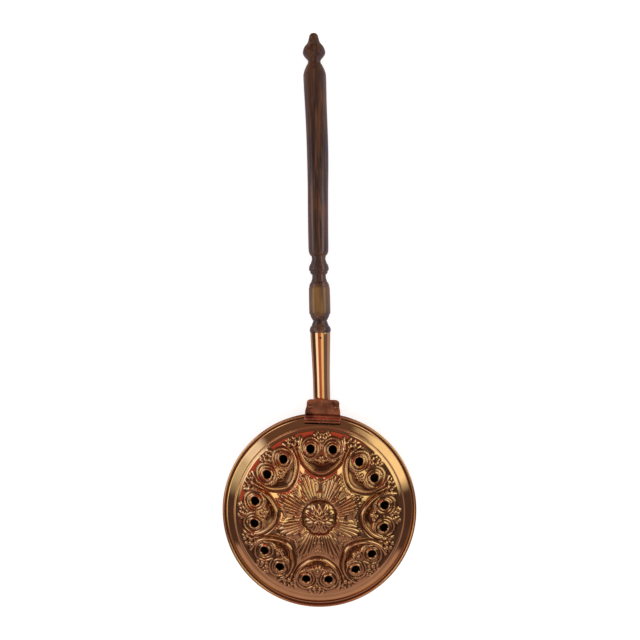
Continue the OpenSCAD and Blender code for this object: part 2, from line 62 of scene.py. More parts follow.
# %% Sizes of the lid, the pan and the handle
LID_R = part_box("lid")[1].x / MM
SHEET = 0.9
BEAD_R = 2.0
BEAD_WIRE_R = 1.1
BEAD_MID_R = LID_R - BEAD_R
RING_TOP_Z = 60.895
BEAD_Z = RING_TOP_Z - SHEET + 0.4
COVE_OUT_R, COVE_R, COVE_TURN = 128.5, 9.5, 72.0
RIDGE_RISE, RING_STEP, RING_W = 1.3, 1.6, 3.7
FIELD_RISE, FIELD_ROUND = 25.5, 0.6
BOSS_R, BOSS_RISE = 21.5, 8.0
SLOT_HALF_W, SLOT_IN = 24.9, LID_R - 15.0
WALL_R, HANDLE_Z, LEAN = 120.5, 39.005, math.radians(3.2)

turn = math.radians(COVE_TURN)
COVE_IN_R = COVE_OUT_R - COVE_R * math.sin(turn)
COVE_TOP_Z = RING_TOP_Z + COVE_R * (1 - math.cos(turn))
RIDGE_R = RIDGE_RISE / (1 - math.cos(turn))
RIDGE_MID_R = COVE_IN_R - RIDGE_R * math.sin(turn)
RIDGE_MID_Z = COVE_TOP_Z + RIDGE_RISE
FIELD_R = RIDGE_MID_R - RING_W
FIELD_Z = RIDGE_MID_Z + RING_STEP
print(f"lid radius {LID_R:.1f}, field radius {FIELD_R:.2f}, field edge at {FIELD_Z:.2f}")


# %% Helpers for node trees
FLOAT, VECTOR = "NodeSocketFloat", "NodeSocketVector"


def fill(tree, node, inputs):
    """Sets a node's inputs to values, or links them to sockets."""
    for key, value in inputs.items():
        if isinstance(value, bpy.types.NodeSocket):
            tree.links.new(value, node.inputs[key])
        else:
            node.inputs[key].default_value = value
    return node


def add(tree, kind, inputs=None, **settings):
    """A new node with its settings and inputs."""
    made = tree.nodes.new(kind)
    for name, value in settings.items():
        setattr(made, name, value)
    return fill(tree, made, inputs or {})


def maths(tree, operation, *values):
    """The result of a sum on values or sockets."""
    return add(tree, "ShaderNodeMath", dict(enumerate(values)), operation=operation).outputs[0]


def ranged(tree, value, low, high, start=0.0, end=1.0, shape="LINEAR"):
    """The start up to the low value, the end from the high one on, and a slope between."""
    return add(tree, "ShaderNodeMapRange", {
        "Value": value, "From Min": low, "From Max": high, "To Min": start, "To Max": end},
        interpolation_type=shape).outputs["Result"]


def between(tree, value, low, high):
    """0 below the low value and 1 above the high one, with a smooth step between."""
    return ranged(tree, value, low, high, shape="SMOOTHSTEP")


def noise(tree, place, scale, detail, roughness=0.5, distortion=0.0):
    """Cloudy noise read at a place."""
    return add(tree, "ShaderNodeTexNoise", {
        "Vector": place, "Scale": scale, "Detail": detail, "Roughness": roughness,
        "Distortion": distortion}).outputs["Fac"]


def mix(tree, factor, a, b):
    """The colour a where the factor is 0 and b where it is 1."""
    return add(tree, "ShaderNodeMix", {0: factor, 6: a, 7: b}, data_type="RGBA").outputs[2]


def new_group(name, ins, outs):
    """An empty shader group with its sockets, where an input with no value is a vector."""
    tree = bpy.data.node_groups.new(name, "ShaderNodeTree")
    for socket, default in ins.items():
        kind = VECTOR if default is None else FLOAT
        made = tree.interface.new_socket(socket, in_out="INPUT", socket_type=kind)
        if default is not None:
            made.default_value = default
    for socket, kind in outs.items():
        tree.interface.new_socket(socket, in_out="OUTPUT", socket_type=kind)
    return tree, tree.nodes.new("NodeGroupInput").outputs, tree.nodes.new("NodeGroupOutput")


def place_of(tree):
    """The Object coordinates."""
    return add(tree, "ShaderNodeTexCoord").outputs["Object"]


def surface(tree, shader):
    """Ends a material's tree with its shader."""
    add(tree, "ShaderNodeOutputMaterial", {"Surface": shader})


def empty_material(name):
    """A material with an empty tree."""
    made = bpy.data.materials.new(name)
    made.use_nodes = True
    made.node_tree.nodes.clear()
    return made, made.node_tree


def new_material(name):
    """A material with an empty tree, its Principled shader and its Object coordinates."""
    made, tree = empty_material(name)
    shader = add(tree, "ShaderNodeBsdfPrincipled")
    surface(tree, shader.outputs["BSDF"])
    return made, tree, shader, place_of(tree)


print("helpers for nodes are ready")

# %% [markdown]
# ## Clouding, scratches and grain
# Old polished copper isn't one colour: handling leaves clouds of brown, and rubbing leaves
# hair-fine scratches. Both are wanted on several pieces, so each is a node group.


# %% Group: clouds of tarnish
def make_clouding():
    """A mask with soft-edged clouds."""
    tree, given, out = new_group(
        "clouding", {"Vector": None, "Size": 40.0, "Amount": 0.5}, {"Mask": FLOAT})
    broad = noise(tree, given["Vector"], given["Size"], 5.0, 0.6, 0.4)
    mask = maths(tree, "MULTIPLY", ranged(tree, broad, 0.42, 0.68), given["Amount"])
    fill(tree, out, {"Mask": mask})
    return tree


# %% Group: fine scratches as a bump
def make_scratches():
    """A normal with hair-fine scratches."""
    tree, given, out = new_group(
        "scratches", {"Vector": None, "Size": 600.0, "Depth": 0.1}, {"Normal": VECTOR})
    stretched = add(tree, "ShaderNodeMapping", {
        "Vector": given["Vector"], "Rotation": (0.0, 0.0, 0.7), "Scale": (1.0, 0.08, 0.3)})
    hairs = noise(tree, stretched.outputs["Vector"], given["Size"], 3.0, 0.7)
    bump = add(tree, "ShaderNodeBump", {
        "Strength": given["Depth"], "Distance": 0.0002, "Height": hairs})
    fill(tree, out, {"Normal": bump.outputs["Normal"]})
    return tree


CLOUDING, SCRATCHES = make_clouding(), make_scratches()
print("groups:", CLOUDING.name, "and", SCRATCHES.name)

# %% [markdown]
# ## Copper and steel
# Bare metal takes its colour from Base Color with Metallic at 1, and shows the room. The
# difference between a new and an old pan is in the roughness and the brown clouds.

# %% A metal finish with its own tones
SOOT = (0.05, 0.03, 0.02, 1)


def attribute(tree, name):
    """A number that the mesh stores at each of its points."""
    return add(tree, "ShaderNodeAttribute", attribute_name=name).outputs["Fac"]


def metal(name, bright, dull, clouds, size=26.0, polish=0.13, duller=0.16, rub=(900.0, 0.08),
          tarnish_and_shade_in_hollows=False, sooty=False):
    """Bare metal: the bright tone, dull clouds, and painted shade with tarnish in the mesh's
    recesses.
    Polish is the roughness where it is bright, and rub the scratches' size and depth. A
    sooty one is black where its mesh says so."""
    made, tree, shader, place = new_material(name)
    mask = add(tree, "ShaderNodeGroup", {"Vector": place, "Size": size, "Amount": clouds},
               node_tree=CLOUDING).outputs["Mask"]
    # The marked recesses darken both as tarnish and as painted shade.
    if tarnish_and_shade_in_hollows:
        mask = maths(tree, "MAXIMUM", mask, attribute(tree, "hollow_tarnish_and_shade"))
    colour = mix(tree, mask, bright, dull)
    if sooty:
        colour = mix(tree, attribute(tree, "soot"), colour, SOOT)
    scratched = add(tree, "ShaderNodeGroup", {"Vector": place, "Size": rub[0], "Depth": rub[1]},
                    node_tree=SCRATCHES)
    fill(tree, shader, {
        "Base Color": colour, "Roughness": ranged(tree, mask, 0, 1, polish, polish + duller),
        "Normal": scratched.outputs["Normal"], "Metallic": 1.0})
    return made


# The lid's recesses and the rim's ring groove get tarnish and painted shade from the mesh.
STAMPED = metal("stamped_copper", (0.87, 0.52, 0.25, 1), (0.20, 0.08, 0.035, 1), 0.16,
                polish=0.06, tarnish_and_shade_in_hollows=True)
SPUN = metal("spun_copper", (0.84, 0.47, 0.24, 1), (0.42, 0.18, 0.085, 1), 0.5, 18.0, 0.16,
             sooty=True)
ROLLED = metal("rolled_copper", (0.87, 0.50, 0.24, 1), (0.50, 0.22, 0.10, 1), 0.2, polish=0.09)
DARKENED = metal("darkened_copper", (0.78, 0.30, 0.16, 1), (0.12, 0.04, 0.03, 1), 1.0, 42.0,
                 0.26)
BLACKENED = metal("blackened_copper", (0.16, 0.08, 0.05, 1), (0.06, 0.03, 0.02, 1), 0.8, 90.0,
                  0.4)
WORN = metal("worn_copper", (0.66, 0.36, 0.18, 1), (0.32, 0.13, 0.07, 1), 0.5, 150.0, 0.22)
DRAWN = {"clouds": 0.8, "size": 90.0, "polish": 0.28, "duller": 0.22, "rub": (700.0, 0.2)}
WIRE = metal("drawn_wire", (0.36, 0.34, 0.33, 1), (0.20, 0.16, 0.13, 1), **DRAWN)
FIXING = metal("plain_steel", (0.50, 0.50, 0.50, 1), (0.30, 0.27, 0.24, 1), **DRAWN)
print("metal finishes are ready")

# %% [markdown]
# ## Stained wood
# The handle is turned from a close-grained wood, stained dark brown and varnished. Its grain
# runs along the handle, so the pattern is read in the handle's own frame: a Mapping node
# takes the place and turn of the handle out of the Object coordinates.


# %% The wood's finish
DARK_STAIN, WARM_STAIN = (0.052, 0.025, 0.018, 1), (0.165, 0.060, 0.017, 1)
STREAK, RUBBED = (0.020, 0.010, 0.008, 1), (0.23, 0.112, 0.018, 1)
BLOCK_START, BLOCK_END, BLOCK_FADE = 0.150, 0.196, 0.008


def stained_wood():
    """Dark streaks over two tones of stain, with the middle of the block rubbed bare."""
    made, tree, shader, place = new_material("stained_wood")
    along = add(tree, "ShaderNodeMapping", {
        "Vector": place, "Location": (0.0, WALL_R * MM, HANDLE_Z * MM),
        "Rotation": (-math.pi / 2, 0.0, LEAN)}, vector_type="TEXTURE").outputs["Vector"]
    lines, waves = (add(tree, "ShaderNodeMapping", {
        "Vector": along, "Scale": (1.0, 1.0, squeeze)}).outputs["Vector"]
        for squeeze in (0.03, 0.14))
    grain = noise(tree, lines, 520.0, 3.0, 0.6, 0.3)
    broad = noise(tree, waves, 85.0, 3.0, distortion=1.2)
    stain = mix(tree, ranged(tree, broad, 0.42, 0.66), DARK_STAIN, WARM_STAIN)
    stain = mix(tree, ranged(tree, grain, 0.34, 0.60), STREAK, stain)
    height = add(tree, "ShaderNodeSeparateXYZ", {"Vector": along}).outputs["Z"]
    bare = maths(tree, "MULTIPLY",
                 ranged(tree, height, BLOCK_START, BLOCK_START + BLOCK_FADE),
                 ranged(tree, height, BLOCK_END, BLOCK_END - BLOCK_FADE))
    stain = mix(tree, maths(tree, "MULTIPLY", bare, broad), stain, RUBBED)
    bump = add(tree, "ShaderNodeBump", {"Strength": 0.5, "Distance": 0.0003, "Height": grain})
    fill(tree, shader, {
        "Base Color": stain, "Normal": bump.outputs["Normal"], "Roughness": 0.45,
        "Coat Weight": 0.7, "Coat Roughness": 0.17, "Coat IOR": 1.6})
    return made


WOOD = stained_wood()
print("wood finish is ready")

# %% [markdown]
# ## The lid's relief
# The lid is one thin sheet of copper, stamped between dies. Everything on it repeats eight
# times and each repeat is a mirror image of itself, so a height is worked out in one wedge of
# 22.5 degrees and folded round. Heights are millimetres above the plain swell of the lid.

# %% Where the ornament's parts lie in the wedge
CARTOUCHES = 8
WEDGE = math.pi / CARTOUCHES
HOLE_R, HOLE_ACROSS = 5.1, 15.25
HOLE_CIRCLE_R = FIELD_R - 24.5
HOLE_TURN = math.asin(HOLE_ACROSS / HOLE_CIRCLE_R)
HOLE_OUT = HOLE_CIRCLE_R * math.cos(HOLE_TURN)
SHELL_OUT, SHELL_RADIUS = FIELD_R - 22.0, 30.5


def field_height(r):
    """Top of the lid's plain swell at a distance r from the middle."""
    t = r / FIELD_R
    return FIELD_Z + FIELD_RISE * ((1 - FIELD_ROUND) * (1 - t) + FIELD_ROUND * (1 - t**2))


def plain_top(r):
    """Top of the field, or of the boss inside its edge."""
    inside = np.clip(1 - (r / BOSS_R) ** 2, 0, None)
    return field_height(np.maximum(r, BOSS_R)) + BOSS_RISE * inside


def fold(x, y):
    """Distance from the middle, and the angle from the nearest cartouche's middle line."""
    r, angle = np.hypot(x, y), np.arctan2(x, y)
    return r, np.abs((angle + WEDGE) % (2 * WEDGE) - WEDGE)


def rounded(d, half):
    """1 at d = 0 falling in a round hill to 0 at half."""
    return np.clip(1 - (d / half) ** 2, 0, None)


def soft(d, half):
    """1 at d = 0 falling in a smooth wave to 0 at half."""
    return 0.5 + 0.5 * np.cos(np.pi * np.clip(np.abs(d) / half, 0, 1))


def step(t):
    """A smooth step from 0 to 1 while t runs from 0 to 1."""
    t = np.clip(t, 0, 1)
    return t * t * (3 - 2 * t)


def beads(out, across, places):
    """Half-round beads, each given as (out, across, radius, height)."""
    height = np.zeros_like(out)
    for bead_out, bead_across, radius, rise in places:
        away = np.hypot(out - bead_out, across - bead_across)
        height = np.maximum(height, rise * np.sqrt(rounded(away, radius)))
    return height


print(f"vent holes {HOLE_CIRCLE_R:.2f} from the middle, at {math.degrees(HOLE_TURN):.2f} degrees")

# %% [markdown]
# Each cartouche is a pair of scrolls round two vent holes, wrapped on its inner side by a
# ridge like the lip of a shell, with a smooth moat between. A scroll is a spiral: its crest
# comes in by one pitch for each turn. Small beads fill the notches.


# %% Heights of a cartouche
PITCH, SCROLL_IN, SCROLL_OUT, SCROLL_LONG = 3.75, 6.9, 16.2, 0.9
SCROLL_RISE, SCROLL_HALF, SCROLL_SINK = 1.9, 1.5, 0.6
LIP_RISE, LIP_HALF = 2.3, 1.9
SHELL_POINT, SHELL_POINT_TURN, SHELL_TURN = 3.2, 25, 118
SHELL_RISE, SHELL_HALF = 2.3, 2.6
MOAT_DEPTH, MOAT_IN, MOAT_HALF = 3.1, 8.2, 7.4
GROOVE_DEPTH, GROOVE_OUT, GROOVE_HALF = 1.0, 3.8, 2.0
COLLAR_DEPTH, COLLAR_R = 0.7, 6.2
AXIS_BEADS = [(99.3, 0.0, 2.3, 1.6), (103.6, 4.0, 2.9, 2.0), (106.9, 9.2, 2.5, 1.6),
              (110.2, 6.9, 2.3, 1.5), (108.0, 2.5, 1.9, 1.2)]
BETWEEN_BEADS = [(100.2, 0.0, 3.0, 2.1), (95.6, 4.6, 2.3, 1.5), (103.6, 5.8, 2.7, 1.8),
                 (108.6, 3.2, 2.3, 1.5), (91.6, 0.0, 1.9, 1.3)]
FLEUR = [(77.8, 0.0, 2.4, 1.6), (73.6, 5.6, 2.3, 1.5), (72.0, 0.0, 1.8, 1.1)]


def shell_distance(out, across):
    """Distance outside the shell ridge's line, which has a point on its inner side."""
    away = np.hypot(out - SHELL_OUT, across)
    side = np.degrees(np.arctan2(across, SHELL_OUT - out))
    point = SHELL_POINT * np.exp(-((side / SHELL_POINT_TURN) ** 2))
    return away - SHELL_RADIUS - point, side


def scroll_height(out, across):
    """Distance from the vent hole's middle, and the height of the spiral ridge round it."""
    lift, aside = out - HOLE_OUT, across - HOLE_ACROSS
    away = np.hypot(np.where(lift > 0, lift * SCROLL_LONG, lift), aside)
    turned = (np.arctan2(lift, -aside) % (2 * np.pi)) / (2 * np.pi)
    phase = (away - SCROLL_IN) / PITCH + turned
    crest = np.clip(np.rint(phase), 1, 2)
    ridge = SCROLL_RISE * rounded((phase - crest) * PITCH, SCROLL_HALF) * (away < SCROLL_OUT)
    lip = LIP_RISE * rounded(away - SCROLL_IN, LIP_HALF)
    sink = SCROLL_SINK * step((15.5 - away) / 2) * step((away - 6.5) / 1.5)
    return away, np.maximum(ridge, lip) - sink


def cartouche(out, across):
    """The scrolls, the moat and the ridge of a cartouche, and its beads."""
    hole, scroll = scroll_height(out, across)
    shell, side = shell_distance(out, across)
    wrap = step((SHELL_TURN - side) / 18)
    ridge = SHELL_RISE * rounded(shell, SHELL_HALF) * wrap
    raised = np.maximum.reduce([ridge, beads(out, across, FLEUR + AXIS_BEADS)])
    moat = -MOAT_DEPTH * soft(shell + MOAT_IN, MOAT_HALF) * step((hole - 14.6) / 3.0) * wrap
    groove = -GROOVE_DEPTH * soft(shell - GROOVE_OUT, GROOVE_HALF) * wrap
    collar = -COLLAR_DEPTH * step((COLLAR_R - hole) / 1.1)
    return np.where(scroll > raised, scroll, raised) + moat + groove + collar


# %% [markdown]
# Between the cartouches and the boss lies a star of eight leaves. Each leaf is a fan of six
# bold flutes that starts narrow at the boss. A rope of small beads runs round its outer end,
# and a small tongue fills the gap between two leaves.

# %% Heights of the star and its rope
FLUTE_TURN = math.radians(5.8)
FLUTE_STARTS = np.array([23.4, 23.4, 33.0, 90.0])
FLUTE_ENDS = np.array([59.0, 52.5, 44.0, 0.0])
FLUTE_POINT, FLUTE_RISE = 13.0, 1.5
PILLOW_RISE, PILLOW_TURN, PILLOW_OUT = 1.3, math.radians(18.5), 62
ROPE_RISE, ROPE_TWIST, ROPE_PITCH, ROPE_HALF, ROPE_LENGTH = 0.85, 0.35, 3.1, 1.35, 21.5
TONGUE_RISE, TONGUE_TURN = 1.3, 5.6


def rope_height(out, across):
    """A rope of small beads that bends outwards from a cartouche's middle line."""
    line = 46.2 + 0.42 * across + 0.0075 * across**2
    bead = ROPE_RISE + ROPE_TWIST * np.cos(across * 2 * math.pi / ROPE_PITCH)
    return bead * rounded(0.85 * (out - line), ROPE_HALF) * (across < ROPE_LENGTH)


def star(r, a):
    """One leaf of the star: a low pillow cut into flutes with pointed ends."""
    off = WEDGE - a
    count = np.clip(np.floor(off / FLUTE_TURN), 0, 3).astype(int)
    away = np.abs(off - (count + 0.5) * FLUTE_TURN) * r
    tip = np.clip((FLUTE_ENDS[count] - r) / FLUTE_POINT, 0, 1)
    half = 0.5 * FLUTE_TURN * r * np.sqrt(np.clip(tip * (2 - tip), 1e-4, 1)) + 1e-3
    flute = np.minimum(FLUTE_RISE, 0.72 * half) * rounded(away, half * 1.02) * (tip > 0)
    flute = flute * step((r - FLUTE_STARTS[count]) / 2.5)
    pillow = PILLOW_RISE * rounded(off, PILLOW_TURN) * step((PILLOW_OUT - r) / 12)
    return flute + pillow * step((r - 23) / 8)


def tongue(out, across):
    """The tongue between two leaves of the star."""
    turned = np.degrees(np.arctan2(across, out))
    ends = step((out - 24) / 3) * step((36.5 - out) / 4)
    return TONGUE_RISE * rounded(turned, TONGUE_TURN) * ends


# %% [markdown]
# The boss is a flower: eight broad petals with a rib, eight small pointed ones over the gaps
# between them, and a bud of four beads. Folding makes one petal into eight.

# %% Heights of the boss
PETAL_R, PETAL_HALF, PETAL_RISE = 15.0, 6.6, 1.9
POINT_OUT, POINT_IN = 14.2, 3.4
BUD_OUT, BUD_BEAD_R, BUD_RISE = 3.3, 2.7, 1.85


def boss(r, a, x, y):
    """Two rows of petals on the boss, and the bud on top."""
    off = WEDGE - a
    broad = WEDGE * np.sqrt(np.clip(1 - ((r - PETAL_R) / PETAL_HALF) ** 2, 1e-4, 1))
    lower = PETAL_RISE * np.sqrt(rounded(off, broad)) * (np.abs(r - PETAL_R) < PETAL_HALF)
    vein = 0.4 * soft(off * r, 1.2) - 0.5 * soft(np.abs(off * r) - 2.0, 1.2)
    lower = lower + vein * step((20.5 - r) / 4) * (r > 9)
    narrow = WEDGE * 1.02 * np.clip((POINT_OUT - r) / 7.0, 1e-3, 1)
    upper = (0.8 + 1.5 * step((13.0 - r) / 5)) * rounded(a, narrow) * (r < POINT_OUT)
    upper = upper * step((r - POINT_IN) / 2)
    bud = np.zeros_like(r)
    for k in range(4):
        turned = math.pi / 4 + k * math.pi / 2
        away = np.hypot(x - BUD_OUT * math.sin(turned), y - BUD_OUT * math.cos(turned))
        bud = np.maximum(bud, BUD_RISE * np.sqrt(rounded(away, BUD_BEAD_R)))
    skirt = -1.1 * soft(r - 22.4, 2.0)
    return np.maximum.reduce([lower * (r < 22), upper, bud]) + skirt


# %% Heights of everything together
MARGIN_LIFT, MARGIN_W = 0.5, 1.9
STAR_IN, STAR_OWN_R, RELIEF_FADE = 21, 26, 2.0


def relief(x, y):
    """Height of the whole ornament above the plain swell, in millimetres."""
    r, a = fold(x, y)
    out, across = r * np.cos(a), r * np.sin(a)
    off = WEDGE - a
    ground = cartouche(out, across)
    notch = beads(r * np.cos(off), r * np.sin(off), BETWEEN_BEADS)
    inner = np.maximum(star(r, a), tongue(out, across)) * (r > STAR_IN)
    height = ground + np.maximum.reduce([notch, rope_height(out, across), inner])
    height = np.where(r < STAR_OWN_R, inner, height) + boss(r, a, x, y)
    fade = step((FIELD_R - 1.0 - r) / RELIEF_FADE)
    return height * fade + MARGIN_LIFT * step((FIELD_R - r) / MARGIN_W)


sample = relief(np.array([0.0, 0.0, 30.0]), np.array([60.0, 90.0, 60.0]))
print("relief at three places:", np.round(sample, 2))

# %% [markdown]
# ## Spinning a sheet
# A round sheet is the path of its section about the middle axis, which is what `spin` does.
# Fine relief needs many steps round, and the plain rim few, so the lid is spun in zones.
# Where two zones meet, every edge of the coarser circle is cut in two and the circles merge.


# %% Helpers for spun zones
FIRST_STEPS = 96


def spun(bm, section, steps):
    """Spins a section of (radius, height) points, in millimetres, into a zone of faces.
    The spin itself is coarse, and cuts along the circles bring it to its number of steps."""
    zone = bmesh.new()
    points = [zone.verts.new((r * MM, 0, z * MM)) for r, z in section]
    edges = [zone.edges.new(pair) for pair in zip(points, points[1:])]
    bmesh.ops.spin(zone, geom=points + edges, axis=(0, 0, 1), cent=(0, 0, 0), dvec=(0, 0, 0),
                   angle=2 * math.pi, steps=FIRST_STEPS, use_merge=True, use_duplicate=False)
    if steps > FIRST_STEPS:
        along = [e for e in zone.edges if len({v.co.z for v in e.verts}) == 1
                 and abs(e.verts[0].co.xy.length - e.verts[1].co.xy.length) < 2e-6]
        bmesh.ops.subdivide_edges(zone, edges=along, cuts=steps // FIRST_STEPS - 1)
    chord = 2 * math.pi / FIRST_STEPS
    for v in zone.verts:
        off = math.atan2(v.co.y, v.co.x) % chord - chord / 2
        v.co.xy *= math.cos(off) / math.cos(chord / 2)
    part = bpy.data.meshes.new("zone")
    zone.to_mesh(part)
    zone.free()
    bm.from_mesh(part)
    bpy.data.meshes.remove(part)


def merge_circle(bm, r, z, steps):
    """Joins two zones at a circle: the edges of the coarser one, with so many steps, are cut
    in two, the new points move out onto the circle, and the doubles merge."""
    def ring():
        return {v for v in bm.verts
                if abs(v.co.xy.length - r * MM) < 2e-5 and abs(v.co.z - z * MM) < 2e-5}
    on, chord = ring(), 2 * math.pi * r * MM / steps
    wide = {e for v in on for e in v.link_edges
            if e.other_vert(v) in on and e.calc_length() > 0.75 * chord}
    bmesh.ops.subdivide_edges(bm, edges=list(wide), cuts=1)
    for v in ring():
        v.co.xy *= r * MM / v.co.xy.length
    bmesh.ops.remove_doubles(bm, verts=list(ring()), dist=5e-6)


def closed(section, steps):
    """A closed skin of revolution whose ends lie on the axis or meet each other."""
    bm = bmesh.new()
    spun(bm, section, steps)
    bmesh.ops.remove_doubles(bm, verts=bm.verts, dist=1e-6)
    return bm


def new_object(bm, name, material):
    """Turns a bmesh into an object of the scene."""
    mesh = bpy.data.meshes.new(name)
    bm.to_mesh(mesh)
    bm.free()
    mesh.materials.append(material)
    obj = bpy.data.objects.new(name, mesh)
    bpy.context.scene.collection.objects.link(obj)
    return obj


def finish_mesh(bm, name, material, smooth_under=40):
    """An object with outward faces, smooth shading and sharp folds."""
    bmesh.ops.recalc_face_normals(bm, faces=bm.faces)
    obj = new_object(bm, name, material)
    obj.data.shade_smooth()
    obj.data.set_sharp_from_angle(angle=math.radians(smooth_under))
    return obj


def open_edges(bm):
    """How many edges don't lie between exactly two faces."""
    return sum(len(e.link_faces) != 2 for e in bm.edges)


def report(obj):
    """Prints a piece's triangles, open edges and volume."""
    bm = bmesh.new()
    bm.from_mesh(obj.data)
    triangles = sum(len(f.verts) - 2 for f in bm.faces)
    volume = bm.calc_volume(signed=True) / MM**3
    print(f"{obj.name}: {triangles} triangles, {open_edges(bm)} open edges, {volume:.0f} mm3")
    bm.free()


def arc(mid_r, mid_z, radius, start, end, count):
    """Points of an arc in a section, with angles in degrees from the outward direction."""
    return [(mid_r + radius * math.cos(a), mid_z + radius * math.sin(a))
            for a in np.radians(np.linspace(start, end, count))]


# %% [markdown]
# The rim runs from the field's edge over two narrow rings and down a cone to a flat ring,
# then the sheet curls round a wire and comes back underneath. One section holds it all.

# %% The section of the rim
CONE_TURN, FOOT_R, CREST_R = 38.5, 1.2, 1.5
RING_GROOVE_R, RING_GROOVE = 129.7, 0.25
SECOND_RING = [(116.9, -0.15), (116.1, -0.08), (115.5, 0.2), (114.8, 0.75)]
BEAD_IN_R = BEAD_MID_R - math.sqrt(BEAD_R**2 - (RING_TOP_Z - BEAD_Z) ** 2)


def rim_top():
    """The top of the rim from the flat ring in to the field's edge."""
    ring = [(BEAD_IN_R, RING_TOP_Z), (RING_GROOVE_R, RING_TOP_Z - RING_GROOVE)]
    foot = arc(COVE_OUT_R, RING_TOP_Z + FOOT_R, FOOT_R, -90, -90 - CONE_TURN, 4)
    crest = arc(RIDGE_MID_R, RIDGE_MID_Z - CREST_R, CREST_R, 90 - CONE_TURN, 90, 6)
    low, high = np.array(foot[-1]), np.array(crest[0])
    cone = [tuple(low * (1 - t) + high * t) for t in (0.2, 0.4, 0.6, 0.8)]
    second = [(r, RIDGE_MID_Z + z) for r, z in SECOND_RING]
    return ring + foot + cone + crest + second + [(FIELD_R, FIELD_Z)]


def moved_in(points, distance):
    """The same line moved to its left, which is the underside of a sheet."""
    line = np.array(points)
    way = np.gradient(line, axis=0)
    way /= np.linalg.norm(way, axis=1)[:, None]
    return [tuple(p) for p in line + distance * np.column_stack([-way[:, 1], way[:, 0]])]


def curl():
    """The sheet's edge rolled round its wire: over the outside, then back along the wire."""
    return (arc(BEAD_MID_R, BEAD_Z, BEAD_R, 150, -145, 15)
            + arc(BEAD_MID_R, BEAD_Z, BEAD_WIRE_R, -145, 190, 8))


top_line = rim_top()
under_line = moved_in(top_line, SHEET)[1::2]
under_line[-1] = (FIELD_R, FIELD_Z - SHEET)
RIM_SECTION = top_line[::-1] + curl() + [(COVE_OUT_R + 1.5, RING_TOP_Z - SHEET)] + under_line
print(f"the rim's section has {len(RIM_SECTION)} points")


# %% [markdown]
# ## Building the lid
# The zones are spun one after the other and merged. Each point keeps a mark that says
# whether it belongs to the top or to the underside, because the relief moves both.

# %% Spin and merge the lid's zones
TOP, UNDER, RIM = 1, 2, 3
STAR_R, BOSS_EDGE_R, BUD_R = 40.0, 24.0, 10.0


def plain_line(start, end, count, drop=0.0):
    """Points along the plain swell from one radius to another, moved down by the drop."""
    return [(r, float(plain_top(r)) - drop) for r in np.linspace(start, end, count + 1)]


def spin_inwards(bm, zones, drop=0.0):
    """Spins plain zones one inside the other, each coarser than the last, and merges them."""
    for start, end, count, steps in zones:
        spun(bm, plain_line(start, end, count, drop), steps)
        merge_circle(bm, *plain_line(start, end, 1, drop)[0], steps)


def build_zones():
    """The whole lid as one closed skin of spun zones, still without relief."""
    bm = bmesh.new()
    spun(bm, RIM_SECTION, 384)
    spun(bm, plain_line(FIELD_R, STAR_R, 66), 768)
    merge_circle(bm, FIELD_R, FIELD_Z, 384)
    spin_inwards(bm, [(STAR_R, BOSS_EDGE_R, 16, 384), (BOSS_EDGE_R, BUD_R, 18, 192),
                      (BUD_R, 0, 12, 96)])
    under = (plain_line(FIELD_R, 99, 7, SHEET) + plain_line(99, 80, 13, SHEET)[1:]
             + plain_line(80, BOSS_EDGE_R, 18, SHEET)[1:])
    spun(bm, under, 384)
    spin_inwards(bm, [(BOSS_EDGE_R, BUD_R, 8, 192), (BUD_R, 0, 5, 96)], SHEET)
    bmesh.ops.remove_doubles(bm, verts=bm.verts, dist=5e-6)
    side = bm.verts.layers.int.new("side")
    for v in bm.verts:
        r = v.co.xy.length / MM
        above = v.co.z / MM > float(plain_top(r)) - SHEET / 2
        v[side] = RIM if r > FIELD_R - 0.01 else TOP if above else UNDER
    return bm


lid_bm = build_zones()
print(f"lid zones: {len(lid_bm.verts)} points, {len(lid_bm.faces)} faces,",
      open_edges(lid_bm), "open edges")

# %% [markdown]
# The vent holes are cut before the relief: the faces inside each circle go, the points left
# on the border slide onto the circle, and the top's border is bridged to the underside's.


# %% Pierce the vent holes
def hole_places():
    """The middles of the sixteen vent holes, in metres."""
    for k in range(CARTOUCHES):
        for turned in (-HOLE_TURN, HOLE_TURN):
            a = 2 * WEDGE * k + turned
            yield Vector((math.sin(a), math.cos(a))) * HOLE_CIRCLE_R * MM


def pierce(bm, middle):
    """One vent hole through both skins of the lid, with its wall."""
    near = [f for f in bm.faces if (f.calc_center_median().xy - middle).length < 9 * MM]
    inside = [f for f in near if (f.calc_center_median().xy - middle).length < HOLE_R * MM]
    doomed = set(inside)
    border = {e for f in inside for e in f.edges if any(g not in doomed for g in e.link_faces)}
    rim = {v for e in border for v in e.verts}
    bmesh.ops.delete(bm, geom=inside, context="FACES")
    for v in rim:
        v.co.xy = middle + (v.co.xy - middle).normalized() * HOLE_R * MM
    free = {v for f in near if f.is_valid for v in f.verts} - rim
    for _ in range(3):
        bmesh.ops.smooth_vert(bm, verts=list(free), factor=0.4, use_axis_x=True,
                              use_axis_y=True, use_axis_z=False)
    bmesh.ops.bridge_loops(bm, edges=list(border))


for place in hole_places():
    pierce(lid_bm, place)
print("vent holes:", open_edges(lid_bm), "open edges")

# %% [markdown]
# A slot for the hinge is cut in from the rim. Three planes slice the skin along the slot's
# sides, the faces between them go, and the cut ends of the sheet are closed again.


# %% Cut the hinge slot
def slice_near(bm, point, normal, inside):
    """Slices the faces whose middle passes the test along one plane."""
    faces = [f for f in bm.faces if inside(f.calc_center_median() / MM)]
    geom = {*faces, *(e for f in faces for e in f.edges), *(v for f in faces for v in f.verts)}
    bmesh.ops.bisect_plane(bm, geom=list(geom), plane_co=Vector(point) * MM, plane_no=normal,
                           dist=1e-7)


